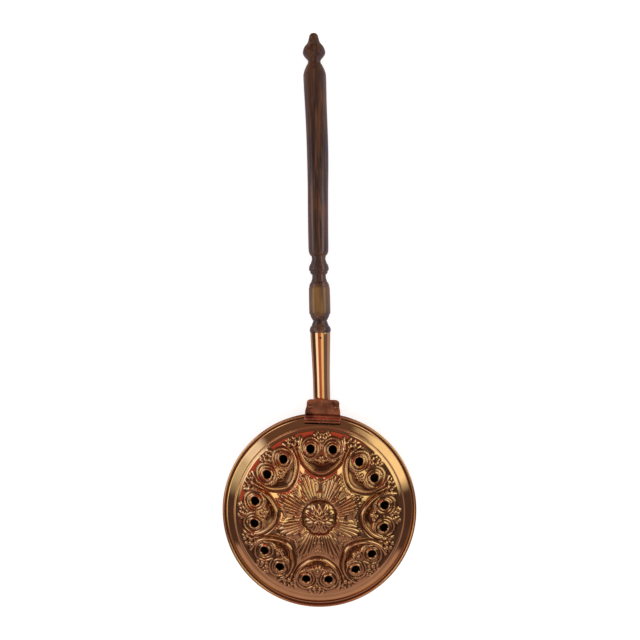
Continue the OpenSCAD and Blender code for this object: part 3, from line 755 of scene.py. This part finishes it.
def cut_slot(bm):
    """The hinge slot: two side faces and the strip along its inner end."""
    slice_near(bm, (0, SLOT_IN, 0), (0, 1, 0), lambda c: abs(c.x) < 30 and c.y > 112)
    for sign in (-1, 1):
        slice_near(bm, (sign * SLOT_HALF_W, 0, 0), (1, 0, 0),
                   lambda c: abs(c.x - sign * SLOT_HALF_W) < 6 and c.y > SLOT_IN - 0.5)
    doomed = [f for f in bm.faces if abs(f.calc_center_median().x) < SLOT_HALF_W * MM
              and f.calc_center_median().y > SLOT_IN * MM]
    bmesh.ops.delete(bm, geom=doomed, context="FACES")
    loose = [e for e in bm.edges if len(e.link_faces) == 1]
    for sign in (-1, 1):
        flat = [e for e in loose if all(abs(v.co.x - sign * SLOT_HALF_W * MM) < 1e-6
                                        and v.co.y > SLOT_IN * MM - 1e-6 for v in e.verts)]
        ends = [v for v in {v for e in flat for v in e.verts}
                if sum(e in flat for e in v.link_edges) == 1]
        print(f"slot side {sign:+d}: {len(flat)} edges, {len(ends)} ends")
        closing = bm.edges.new(ends)
        bmesh.ops.edgeloop_fill(bm, edges=flat + [closing])
        loose = [e for e in loose if e not in flat]
    strip = [e for e in bm.edges if len(e.link_faces) == 1]
    ends = {v for e in strip for v in e.verts}
    print(f"slot end: {len(strip)} edges round {len(ends)} points")
    chains = [e for e in strip if abs(e.verts[0].co.x - e.verts[1].co.x) > 1e-6]
    bmesh.ops.bridge_loops(bm, edges=chains)


cut_slot(lid_bm)
print("hinge slot:", open_edges(lid_bm), "open edges")

# %% [markdown]
# Now the relief. The top takes its full height, and the underside about two thirds, as it
# does in a real sheet, where the metal fills the die less sharply on the back.

# %% Raise the relief
UNDER_SHARE, UNDER_GAP = 0.7, 1.15
# Rounds of averaging, and the depth below the average that gives full tarnish and painted shade.
CAVITY_ROUNDS, CAVITY_DEPTH = 6, 0.36


def cavity(mesh, height):
    """How far each point lies below the average of the points round it."""
    ends = np.zeros(len(mesh.edges) * 2, np.int32)
    mesh.edges.foreach_get("vertices", ends)
    a, b = ends.reshape(-1, 2).T
    count = np.bincount(ends, minlength=len(height))
    mean = height.copy()
    for _ in range(CAVITY_ROUNDS):
        total = (np.bincount(a, mean[b], len(height)) + np.bincount(b, mean[a], len(height)))
        mean = total / count
    return mean - height


def raise_relief(obj):
    """Moves the top's and the underside's points, and stores each place's tarnish and painted
    shade.
    """
    mesh = obj.data
    count = len(mesh.vertices)
    co = np.zeros(count * 3, np.float32)
    mesh.vertices.foreach_get("co", co)
    co = co.reshape(-1, 3).astype(float)
    side = np.zeros(count, np.int32)
    mesh.attributes["side"].data.foreach_get("value", side)
    x, y = co[:, 0] / MM, co[:, 1] / MM
    r = np.hypot(x, y)
    height = np.where(r < FIELD_R, relief(x, y), 0.0)
    base = plain_top(np.minimum(r, FIELD_R))
    top, under = side == TOP, side == UNDER
    co[top, 2] = (base + height)[top] * MM
    thin = SHEET + (UNDER_GAP - SHEET) * step((FIELD_R - r) / 2)
    co[under, 2] = (base + UNDER_SHARE * height - thin)[under] * MM
    mesh.vertices.foreach_set("co", co.astype(np.float32).ravel())
    # Tarnish and painted shade: darker where a point lies below the points round it.
    hollow_tarnish_and_shade = np.clip(0.12 + cavity(mesh, height) / CAVITY_DEPTH, 0, 1) * (r < FIELD_R - 2)
    # The rim's ring groove gets full painted shade, a dark line where its shadow falls.
    groove = (side == RIM) & (r > RING_GROOVE_R - 0.3) & (r < BEAD_IN_R + 0.3)
    groove &= co[:, 2] > (RING_TOP_Z - 0.4) * MM
    made = mesh.attributes.new("hollow_tarnish_and_shade", "FLOAT", "POINT")
    made.data.foreach_set("value", np.where(side == RIM, groove, hollow_tarnish_and_shade).astype(np.float32))
    mesh.attributes.remove(mesh.attributes["side"])
    mesh.update()


lid = finish_mesh(lid_bm, "lid_stamped", STAMPED, 50)
raise_relief(lid)
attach(lid, "lid")
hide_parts("lid")
report(lid)

# %% [markdown]
# ## The pan
# The pan is a copper sheet spun over a form: a flat base, a rounded corner, a straight wall and
# a rim rolled round a wire. Its section is one closed loop from the middle of the base, up the
# inside, round the wire and down the outside, so a full spin gives a closed wall.


# %% The section of the pan
PAN_SHEET, PAN_CORNER_R, PAN_DEPTH = 1.0, 22.0, 60.0
PAN_BEAD_R, PAN_WIRE_R, PAN_BEND_R = 1.75, 1.0, 1.2
PAN_BEAD_MID_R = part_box("pan_rim_wire")[1].x / MM - PAN_WIRE_R
PAN_BEAD_Z = PAN_DEPTH - PAN_BEAD_R
FLANGE_Z = PAN_DEPTH - 1.2 - PAN_SHEET


def pan_section():
    """Inside from the middle up, round the wire, and outside down to the middle."""
    corner_mid = WALL_R - PAN_CORNER_R
    bend_mid_r, bend_mid_z = WALL_R + PAN_BEND_R, FLANGE_Z - PAN_BEND_R
    base = np.linspace(0, corner_mid, 9)[:-1]
    wall = np.linspace(PAN_CORNER_R, bend_mid_z, 6)[1:-1]
    inside = ([(r, PAN_SHEET) for r in base]
              + arc(corner_mid, PAN_CORNER_R, PAN_CORNER_R - PAN_SHEET, -90, 0, 13)
              + [(WALL_R - PAN_SHEET, z) for z in wall]
              + arc(bend_mid_r, bend_mid_z, PAN_BEND_R + PAN_SHEET, 180, 90, 7))
    roll = (arc(PAN_BEAD_MID_R, PAN_BEAD_Z, PAN_BEAD_R, 158, -150, 19)
            + arc(PAN_BEAD_MID_R, PAN_BEAD_Z, PAN_WIRE_R, -150, 200, 15))
    outside = (arc(bend_mid_r, bend_mid_z, PAN_BEND_R, 90, 180, 5)
               + [(WALL_R, z) for z in wall[::-1]]
               + arc(corner_mid, PAN_CORNER_R, PAN_CORNER_R, 0, -90, 13)
               + [(r, 0.0) for r in base[::-1]])
    return inside + roll + outside


pan_bm = closed(pan_section(), 384)
soot = pan_bm.verts.layers.float.new("soot")
for v in pan_bm.verts:
    inside = v.co.xy.length < (WALL_R - PAN_SHEET / 2) * MM and v.co.z < PAN_DEPTH * MM
    off_base = min(v.co.z / MM / PAN_SHEET, 1)
    out_r, up = v.co.xy.length / MM - (WALL_R - PAN_CORNER_R), PAN_CORNER_R - v.co.z / MM
    corner = math.hypot(max(out_r, 0), max(up, 0)) < PAN_CORNER_R - PAN_SHEET / 2
    v[soot] = float(inside and corner and off_base > 0.5)
pan = finish_mesh(pan_bm, "pan_spun", SPUN)
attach(pan, "pan")
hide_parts("pan_bowl")
report(pan)

# %% [markdown]
# ## The handle
# The handle is turned from one piece of wood: a foot on the ferrule, a block, a bead, a long
# barrel and a finial. Its outline is given as stations along the handle, and a curve that never
# overshoots joins them, because a plain smooth curve would bulge past the crisp beads.


# %% A smooth outline through stations
def through(stations, spacing):
    """Points every so many millimetres on a monotone cubic through (distance, radius)."""
    u, r = np.array(stations).T
    gap = np.diff(u)
    rise = np.diff(r) / gap
    slope = np.zeros_like(r)
    both = rise[:-1] * rise[1:] > 0
    w1, w2 = 2 * gap[1:] + gap[:-1], gap[1:] + 2 * gap[:-1]
    safe = np.where(both, rise[:-1], 1), np.where(both, rise[1:], 1)
    slope[1:-1] = np.where(both, (w1 + w2) / (w1 / safe[0] + w2 / safe[1]), 0)
    at = np.linspace(u[0], u[-1], int((u[-1] - u[0]) / spacing) + 1)
    i = np.clip(np.searchsorted(u, at) - 1, 0, len(u) - 2)
    t = (at - u[i]) / gap[i]
    radius = ((2 * t**3 - 3 * t**2 + 1) * r[i] + (t**3 - 2 * t**2 + t) * gap[i] * slope[i]
              + (3 * t**2 - 2 * t**3) * r[i + 1] + (t**3 - t**2) * gap[i] * slope[i + 1])
    return list(zip(radius, at))


HANDLE_PLACE = (Matrix.Translation((0, WALL_R * MM, HANDLE_Z * MM)) @ Matrix.Rotation(LEAN, 4, "Z")
                @ Matrix.Rotation(-math.pi / 2, 4, "X"))
print("the handle's frame:", [tuple(round(v, 4) for v in row) for row in HANDLE_PLACE])

# %% Turn the handle
FERRULE_L = 126.0
SPIGOT = [(0.0, 78.0), (3.0, 78.0), (3.0, 2.4), (10.6, 2.4), (10.8, 60.0), (12.6, 125.9)]
TURNED = [
    (126, 14.3), (129.5, 15.15), (131.5, 14.9), (134.6, 13.6), (137.5, 11.9), (142.5, 10.2),
    (147.5, 12.2), (152, 14.3), (153.5, 14.9), (155, 15.1), (166, 15.2), (187, 15.0),
    (190.5, 14.9), (192.5, 14.4), (195.3, 13.5), (198.2, 12.1), (201, 10.8), (205.3, 9.75),
    (208.2, 10.2), (209.6, 10.9), (211, 12.0), (212.5, 12.8), (213.9, 13.2), (215.3, 13.9),
    (218.3, 14.5), (219.6, 14.1), (222.5, 13.0), (224, 12.5), (226.7, 11.0), (231.5, 9.7),
    (233.9, 10.1), (235.3, 10.7), (236.7, 11.6), (238.1, 12.6), (240.5, 13.6), (242.4, 14.0),
    (247, 14.3), (258, 14.4), (301, 14.6), (329, 14.7), (358, 15.1), (386, 15.4), (429, 15.5),
    (458, 15.8), (479, 16.2), (489, 16.3), (493.5, 16.2), (497, 15.5), (501, 14.2),
    (504.5, 12.5), (507.8, 11.0), (510.3, 9.4), (512.5, 8.95), (514.9, 9.3), (517.4, 11.0),
    (520.4, 13.2), (523, 15.2), (526, 16.15), (528.3, 15.9), (531, 14.9), (533.9, 13.3),
    (536.3, 11.6), (538.9, 9.4), (541, 8.6), (543.3, 7.8), (545.9, 7.15), (547.8, 6.7),
    (550.4, 5.9), (551.8, 4.9), (553, 2.8), (553.4, 0)]
BOW, BOW_AT, BOW_L = 2.0, 384.0, 80.0
CUTS = [136.3, 143.3, 151.6, 191.3, 198.9, 208.0, 213.2, 218.5, 225.0, 235.3, 508.5, 517.5,
        528.8, 536.2]
CUT_DEPTH, CUT_HALF = 0.75, 0.65


def cut_at(u):
    """How deep the turner's cuts go at a place along the handle."""
    return sum(CUT_DEPTH * math.exp(-((u - at) / CUT_HALF) ** 2) for at in CUTS)


def turn_handle():
    """The handle as one closed turned piece with its blind bore for the long screw."""
    outline = [(max(r - cut_at(u), 0), u) for r, u in through(TURNED, 0.6)]
    bm = closed(SPIGOT + outline, 96)
    for v in bm.verts:
        v.co.x += BOW * MM * math.exp(-((v.co.z / MM - BOW_AT) / BOW_L) ** 2)
    bmesh.ops.transform(bm, matrix=HANDLE_PLACE, verts=bm.verts)
    return finish_mesh(bm, "handle_turned", WOOD, 60)


handle = turn_handle()
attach(handle, "pan")
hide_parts("wood_handle")
report(handle)

# %% [markdown]
# ## The ferrule
# A tapered copper tube joins the wood to the pan. Its inner end is coped, which means shaped to
# sit against the round wall, so the points of that end are moved along the tube onto it.

# %% Roll the ferrule
FERRULE = [(1.6, 11.7), (40, 12.0), (60, 12.15), (72.6, 12.45), (87, 12.9), (105, 13.55),
           (126, 14.2)]
FERRULE_T, COPE_R = 0.9, 122.15


def roll_ferrule():
    """The ferrule as a closed tube with a coped end and a rolled lip."""
    outer = through(FERRULE, 3.0)
    lip = [(outer[-1][0] - FERRULE_T / 2, FERRULE_L + 0.35)]
    inner = [(r - FERRULE_T, u) for r, u in outer[::-1]]
    bm = closed(outer + lip + inner + outer[:1], 96)
    coped = [v for v in bm.verts if v.co.z < 2 * MM]
    bmesh.ops.transform(bm, matrix=HANDLE_PLACE, verts=bm.verts)
    for v in coped:
        v.co.y = math.sqrt((COPE_R * MM) ** 2 - v.co.x ** 2)
    return finish_mesh(bm, "ferrule_rolled", ROLLED)


ferrule = roll_ferrule()
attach(ferrule, "pan")
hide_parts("ferrule")
report(ferrule)

# %% [markdown]
# ## The hinge strap
# The strap is a strip of sheet copper: one end lies on the pan's rim, the middle is bowed
# over the pin, and the other end lies flat on the bracket. It is drawn from its side as a
# line, pulled out to its width, trimmed to its outline, and given its thickness at the end,
# as a smith would form and trim a strip.

# %% Form the hinge strap
pin_low, pin_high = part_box("hinge_pin")
strap_low, strap_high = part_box("hinge_strap")
STRAP_T, STRAP_COLUMNS = 1.0, 24
PIN_Y, PIN_Z = 130.126, (pin_low.z + pin_high.z) / 2 / MM
CURL_R, BEND_R = 1.65, 1.7
FLARE_START, FLARE_L = 4.0, 9.0
DENT_START, DENT, DENT_L, DENT_W = 5.0, 0.12, 4.0, 5.1
LEAF_Z, LEAF_END = strap_low.z / MM + STRAP_T / 2, strap_high.y / MM
HALF_W_END, HALF_W_CURL = 22.9, 24.75
TRIM_W, TRIM_L = 6.4, 4.6
TONGUE = [(120.8, 60.7), (121.3, 61.05), (122.0, 61.1), (122.8, 60.85), (123.6, 60.75),
          (124.4, 61.15), (125.3, 61.6), (126.2, 61.75), (127.1, 61.6), (127.9, 61.15)]


def strap_line():
    """The strap from its side: the tongue on the pan's rim, the bow over the pin, the riser,
    the bend, the leaf and its rounded end."""
    curled = TONGUE + arc(PIN_Y, PIN_Z, CURL_R, 160, 0, 13)
    bent = arc(PIN_Y + CURL_R + BEND_R, LEAF_Z + BEND_R, BEND_R, 180, 270, 7)
    trim_y = LEAF_END - TRIM_L
    leaf = [(y, LEAF_Z) for y in np.linspace(bent[-1][0], trim_y, 8)[1:]]
    trim = [(trim_y + TRIM_L * math.sin(a), LEAF_Z) for a in np.radians(np.linspace(0, 90, 9))[1:]]
    return curled + bent + leaf + trim


def strap_half_width(y):
    """Half the strap's width at a place along it."""
    flare = float(step((y - PIN_Y - CURL_R - FLARE_START) / FLARE_L))
    along = min(max((y - LEAF_END + TRIM_L) / TRIM_L, 0), 1)
    return HALF_W_CURL + (HALF_W_END - HALF_W_CURL) * flare - TRIM_W * (1 - math.sqrt(1 - along**2))


def form_strap():
    """The strap as one sheet with shallow dents in its leaf, thickened and with worn edges."""
    bm = bmesh.new()
    points = [bm.verts.new((-1, y * MM, z * MM)) for y, z in strap_line()]
    row = [bm.edges.new(pair) for pair in zip(points, points[1:])]
    for _ in range(STRAP_COLUMNS):
        made = bmesh.ops.extrude_edge_only(bm, edges=row)["geom"]
        row = [g for g in made if isinstance(g, bmesh.types.BMEdge)]
        bmesh.ops.translate(bm, vec=(2 / STRAP_COLUMNS, 0, 0),
                            verts=[g for g in made if isinstance(g, bmesh.types.BMVert)])
    for v in bm.verts:
        x, y = v.co.x * strap_half_width(v.co.y / MM), v.co.y / MM
        if y > PIN_Y + DENT_START:
            wave = math.sin(x / DENT_W + 0.6) * math.sin((y - PIN_Y) / DENT_L)
            v.co.z += DENT * MM * wave
        v.co.x = x * MM
    strap = finish_mesh(bm, "strap_formed", DARKENED, 60)
    wall = strap.modifiers.new("sheet", "SOLIDIFY")
    wall.thickness, wall.offset, wall.use_even_offset = STRAP_T * MM, 0.0, True
    edge = strap.modifiers.new("worn_edge", "BEVEL")
    edge.width, edge.segments, edge.limit_method = 0.2 * MM, 2, "ANGLE"
    return strap


strap = form_strap()
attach(strap, "pan")
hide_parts("hinge_strap")
print("strap columns:", STRAP_COLUMNS)

# %% [markdown]
# ## Finishes of the pieces that stay
# The pin, the wires, the bracket, the rivets, the brad, the plate and the screw already have
# their shape in the CAD model, so they only take a finish.

# %% Give each CAD node its finish
FINISHES = {
    "pan_rim_wire": WIRE, "lid_rim_wire": WIRE, "hinge_pin": WIRE,
    "handle_bracket": DARKENED, "hinge_rivets": WORN, "wall_rivets": WORN,
    "backing_plate": FIXING, "handle_screw": FIXING, "ferrule_brad": BLACKENED}
for node, finish in FINISHES.items():
    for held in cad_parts[node].material_slots:
        held.material = finish
print("finished nodes:", len(FINISHES))

# %% [markdown]
# ## The studio
# Polished metal looks like its surroundings, so the room matters as much as the finish. The
# floor is white where the camera sees it. The metal sees it as a duller table instead, with
# an edge ahead and beside it, beyond which it is dark. A soft lamp overhead lights wood and floor
# at a plain level, and doesn't show in the metal.


# %% Floor
TABLE, BEYOND_TABLE = (0.44, 0.32, 0.30), (0.075, 0.05, 0.05)
TABLE_EDGE, TABLE_AHEAD, TABLE_SLANT = (0.7, 1.0), (-0.1, 0.1), 0.8
FLOOR_TONE, FLOOR_LIFT, FLOOR_HALF, FLOOR_DROP = 0.42, 0.74, 6.0, 0.0002


def shining(tree, tone):
    """A shader that glows in one tone."""
    return add(tree, "ShaderNodeEmission", {"Color": tone}).outputs[0]


def either(tree, factor, a, b):
    """The shader a where the factor is 0 and b where it is 1."""
    return add(tree, "ShaderNodeMixShader", {0: factor, 1: a, 2: b}).outputs[0]


def white_floor():
    """White to the camera, and a dull table with an edge to the metal."""
    made, tree = empty_material("white_floor")
    path = add(tree, "ShaderNodeLightPath").outputs
    lift = maths(tree, "MULTIPLY", path["Is Camera Ray"], FLOOR_LIFT)
    lifted = add(tree, "ShaderNodeEmission", {"Strength": lift}).outputs[0]
    plain = add(tree, "ShaderNodeBsdfDiffuse", {"Color": (FLOOR_TONE, FLOOR_TONE, FLOOR_TONE, 1)})
    both = add(tree, "ShaderNodeAddShader", {0: plain.outputs[0], 1: lifted}).outputs[0]
    place = place_of(tree)
    away = add(tree, "ShaderNodeVectorMath", {0: place}, operation="LENGTH").outputs["Value"]
    part = add(tree, "ShaderNodeSeparateXYZ", {"Vector": place}).outputs
    aside = maths(tree, "ABSOLUTE", part["X"])
    ahead = maths(tree, "MULTIPLY_ADD", aside, TABLE_SLANT, part["Y"])
    edge = maths(tree, "MULTIPLY", between(tree, away, *TABLE_EDGE),
                 between(tree, ahead, *TABLE_AHEAD))
    tone = mix(tree, edge, (*TABLE, 1), (*BEYOND_TABLE, 1))
    mirrored = maths(tree, "MAXIMUM", path["Is Glossy Ray"], path["Is Transmission Ray"])
    surface(tree, either(tree, mirrored, both, shining(tree, tone)))
    return made


def stage_piece(bm, name, material):
    """A floor or a card from a bmesh, which isn't part of the object."""
    obj = new_object(bm, name, material)
    return obj


floor_bm = bmesh.new()
bmesh.ops.create_grid(floor_bm, x_segments=1, y_segments=1, size=FLOOR_HALF,
                      matrix=Matrix.Translation((0, 0, -FLOOR_DROP)))
stage_piece(floor_bm, "floor", white_floor())
print("floor", 2 * FLOOR_HALF, "m wide")

# %% [markdown]
# ## The tent
# Round the pan stands a tent, a large shell of card that the camera looks through. It shines
# by direction: its colours are read from the compass direction and the height above the
# horizon, both taken from Object coordinates. Each belt of the tent has a ramp with its
# colours all the way round: pale card behind the pan, a window on either side, and warm red
# card higher up on the left and ahead. The crown on top holds two patches of sky.

# %% Colours of the tent
CARD, SHADE, CEILING = (0.355, 0.25, 0.255), (0.075, 0.05, 0.05), (0.13, 0.10, 0.105)
LEFT_WINDOW, RIGHT_WINDOW = (1.25, 1.4, 1.6), (1.15, 1.15, 0.95)
CURTAIN, WARM = (0.62, 0.66, 0.60), (0.42, 0.09, 0.075)
GLOW, SKY, PANE = (1.4, 1.4, 1.05), (1.5, 1.4, 1.2), (0.92, 1.0, 1.15)
DIM = (0.13, 0.08, 0.07)
GROUND_BELT = [(-180, CARD), (-134, CARD), (-127, SHADE), (127, SHADE), (134, CARD)]
LOW_BELT = [(-180, CARD), (-148, CARD), (-137, SHADE), (-99, SHADE), (-85, CURTAIN),
            (-74, CURTAIN), (-68, PANE), (-57, PANE), (-49, DIM), (25, DIM),
            (31, RIGHT_WINDOW), (82, RIGHT_WINDOW), (92, SHADE), (134, SHADE), (146, CARD)]
MIDDLE_BELT = [(-180, CARD), (-160, CARD), (-150, SHADE), (-102, SHADE), (-93, CURTAIN),
               (-84, LEFT_WINDOW), (-60, LEFT_WINDOW), (-50, DIM), (40, DIM),
               (50, RIGHT_WINDOW), (85, RIGHT_WINDOW), (95, SHADE), (144, SHADE), (154, CARD)]
HIGH_BELT = [(-180, CARD), (-166, CARD), (-156, SHADE), (-122, SHADE), (-115, WARM), (-66, WARM),
             (-58, SHADE), (138, SHADE), (150, CARD)]
UPPER_BELT = [(-180, CARD), (-132, CARD), (-122, GLOW), (-106, GLOW), (-100, WARM), (44, WARM),
              (52, SHADE), (120, SHADE), (134, CARD)]
TOP_BELT = [(-180, CARD), (-130, CARD), (-115, GLOW), (-75, GLOW), (-68, WARM), (36, WARM),
            (44, CEILING), (58, GLOW), (98, GLOW), (110, CEILING), (132, CARD)]
BELTS = [(GROUND_BELT, 0, 0), (LOW_BELT, 2, 4), (MIDDLE_BELT, 17, 23), (HIGH_BELT, 36, 41),
         (UPPER_BELT, 48, 52), (TOP_BELT, 57, 60)]
CROWN, CEILING_EDGE, TENT_R = (68, 71), (-0.36, -0.16), 3.0
SKY_REAR, SKY_FRONT, SKY_INNER, SKY_OUTER = (-0.12, -0.06), (0.31, 0.27), (0.15, 0.19), (0.29, 0.25)


def above(tree, height, low, high):
    """0 below one angle over the horizon and 1 above the other, in degrees."""
    return between(tree, height, math.sin(math.radians(low)), math.sin(math.radians(high)))


def belt(tree, around, stops):
    """A colour ramp whose stops are given in degrees clockwise from the handle."""
    made = add(tree, "ShaderNodeValToRGB", {"Fac": around})
    stones = made.color_ramp.elements
    stones.remove(stones[1])
    for k, (degrees, tone) in enumerate(stops):
        stone = stones[0] if k == 0 else stones.new(degrees / 360 + 0.5)
        stone.position, stone.color = degrees / 360 + 0.5, (*tone, 1)
    return made.outputs["Color"]


# %% Tent
def tent_card():
    """Card that glows with the belts' colours by direction."""
    made, tree = empty_material("tent_card")
    place = place_of(tree)
    way = add(tree, "ShaderNodeVectorMath", {0: place}, operation="NORMALIZE").outputs[0]
    part = add(tree, "ShaderNodeSeparateXYZ", {"Vector": way}).outputs
    turned = maths(tree, "ARCTAN2", part["X"], part["Y"])
    around = ranged(tree, turned, -math.pi, math.pi)
    tone = belt(tree, around, BELTS[0][0])
    for stops, low, high in BELTS[1:]:
        tone = mix(tree, above(tree, part["Z"], low, high), tone, belt(tree, around, stops))
    ceiling = between(tree, part["Y"], *CEILING_EDGE)
    overhead = mix(tree, ceiling, (*CARD, 1), (*CEILING, 1))
    aside = maths(tree, "ABSOLUTE", part["X"])
    sky = between(tree, part["Y"], *SKY_REAR)
    for value, edge in ((aside, SKY_INNER), (part["Y"], SKY_FRONT), (aside, SKY_OUTER)):
        sky = maths(tree, "MULTIPLY", sky, between(tree, value, *edge))
    overhead = mix(tree, sky, overhead, (*SKY, 1))
    tone = mix(tree, above(tree, part["Z"], *CROWN), tone, overhead)
    surface(tree, shining(tree, tone))
    return made


tent_bm = bmesh.new()
bmesh.ops.create_uvsphere(tent_bm, u_segments=64, v_segments=32, radius=TENT_R)
tent = stage_piece(tent_bm, "tent", tent_card())
tent.visible_camera = False
print("tent", 2 * TENT_R, "m across")

# %% [markdown]
# The ferrule and the wood show narrow stripes, so they get cards of their own: a trough
# round the handle, seen only by rays that leave the handle itself. A wall closes its lower
# end: it is dim from the lid's side, so that the lit cards don't show in the lid, and clear
# from inside.

# %% Cards round the handle
TROUGH_R, TROUGH_NEAR, TROUGH_REACH, TROUGH_TURN = 0.05, 0.0332, 0.055, 125
TROUGH_ENDS, END_MARK = (0.028, 0.565), 2.0
WOOD_EDGE, FAR_EDGE = (0.244, 0.248), (0.42, 0.54)
BLUSH, CREAM = (0.42, 0.15, 0.08), (0.95, 0.82, 0.66)
SLATE, MIST = (0.15, 0.13, 0.14), (0.4, 0.38, 0.5)
FERRULE_BELT = [(-125, MIST), (-104, MIST), (-93, SHADE), (-54, SHADE), (-48, LEFT_WINDOW),
                (-30, LEFT_WINDOW), (-24, BLUSH), (2, BLUSH), (8, CREAM), (28, CREAM),
                (34, SLATE), (72, SLATE), (82, MIST)]
WOOD_BELT = [(-125, MIST), (-86, CARD), (-72, CARD), (-66, LEFT_WINDOW), (-57, LEFT_WINDOW),
             (-49, SHADE), (35, SHADE), (43, LEFT_WINDOW), (54, LEFT_WINDOW), (62, CARD),
             (96, MIST)]
FAR_BELT = [(-125, MIST), (-76, CARD), (-66, CARD), (-56, SHADE), (44, SHADE), (56, CARD),
            (96, MIST)]


def trough_card():
    """Card that glows in stripes, only to rays as short as those from the handle."""
    made, tree = empty_material("trough_card")
    around = attribute(tree, "turn")
    place = place_of(tree)
    along = add(tree, "ShaderNodeSeparateXYZ", {"Vector": place}).outputs["Y"]
    tone = mix(tree, between(tree, along, *WOOD_EDGE), belt(tree, around, FERRULE_BELT),
               belt(tree, around, WOOD_BELT))
    tone = mix(tree, between(tree, along, *FAR_EDGE), tone, belt(tree, around, FAR_BELT))
    clear = add(tree, "ShaderNodeBsdfTransparent").outputs[0]
    reach = add(tree, "ShaderNodeLightPath").outputs["Ray Length"]
    own = maths(tree, "MULTIPLY", maths(tree, "GREATER_THAN", reach, TROUGH_NEAR),
                maths(tree, "LESS_THAN", reach, TROUGH_REACH))
    side = either(tree, own, clear, shining(tree, tone))
    back = add(tree, "ShaderNodeNewGeometry").outputs["Backfacing"]
    end = either(tree, back, shining(tree, (*DIM, 1)), clear)
    is_end = maths(tree, "GREATER_THAN", around, END_MARK - 0.5)
    surface(tree, either(tree, is_end, side, end))
    return made


trough_bm = bmesh.new()
turned = trough_bm.verts.layers.float.new("turn")
rows = []
for up in TROUGH_ENDS:
    row = []
    for degrees in range(-TROUGH_TURN, TROUGH_TURN + 1, 5):
        a = math.radians(degrees)
        row.append(trough_bm.verts.new((TROUGH_R * math.sin(a), -TROUGH_R * math.cos(a), up)))
        row[-1][turned] = degrees / 360 + 0.5
    rows.append(row)
for k in range(len(rows[0]) - 1):
    trough_bm.faces.new((rows[0][k], rows[0][k + 1], rows[1][k + 1], rows[1][k]))
end_wall = [trough_bm.verts.new(v.co) for v in rows[0][::-1]]
for v in end_wall:
    v[turned] = END_MARK
trough_bm.faces.new(end_wall)
bmesh.ops.transform(trough_bm, matrix=HANDLE_PLACE, verts=trough_bm.verts)
trough = stage_piece(trough_bm, "trough", trough_card())
trough.visible_camera = trough.visible_diffuse = trough.visible_shadow = False
print("trough corner:", tuple(round(c, 3) for c in trough.data.vertices[0].co))

# %% Lamp
def soft_box(name, height, side, radiance):
    """A square lamp overhead that lights the piece without a mirror image in its metal."""
    lamp = bpy.data.lights.new(name, "AREA")
    lamp.shape, lamp.size, lamp.energy = "SQUARE", side, radiance * math.pi * side**2
    held = bpy.data.objects.new(name, lamp)
    bpy.context.scene.collection.objects.link(held)
    held.location = (0.0, 0.2, height)
    held.visible_glossy = held.visible_camera = False


soft_box("overhead_box", height=2.3, side=2.4, radiance=2.6)
print("lamps:", len(bpy.data.lights))

# %% World
PALE = 0.8
world = bpy.data.worlds.new("pale_room")
bpy.context.scene.world = world
world.use_nodes = True
world.node_tree.nodes["Background"].inputs["Color"].default_value = (PALE, PALE, PALE, 1)
print("world level", PALE)

# %% [markdown]
# ## The camera
# The photograph was taken from straight above, with the camera over the lower handle.

# %% Camera
eye = bpy.data.cameras.new("eye")
eye.lens, eye.sensor_width, eye.clip_end = 34.35, 36.0, 50.0
camera = bpy.data.objects.new("eye", eye)
bpy.context.scene.collection.objects.link(camera)
camera.location = (-0.00807, 0.26438, 0.911)
camera.rotation_euler = (0, 0, math.radians(1.9))
bpy.context.scene.camera = camera
bpy.context.scene.view_settings.view_transform = "Standard"
print("camera at", tuple(camera.location))
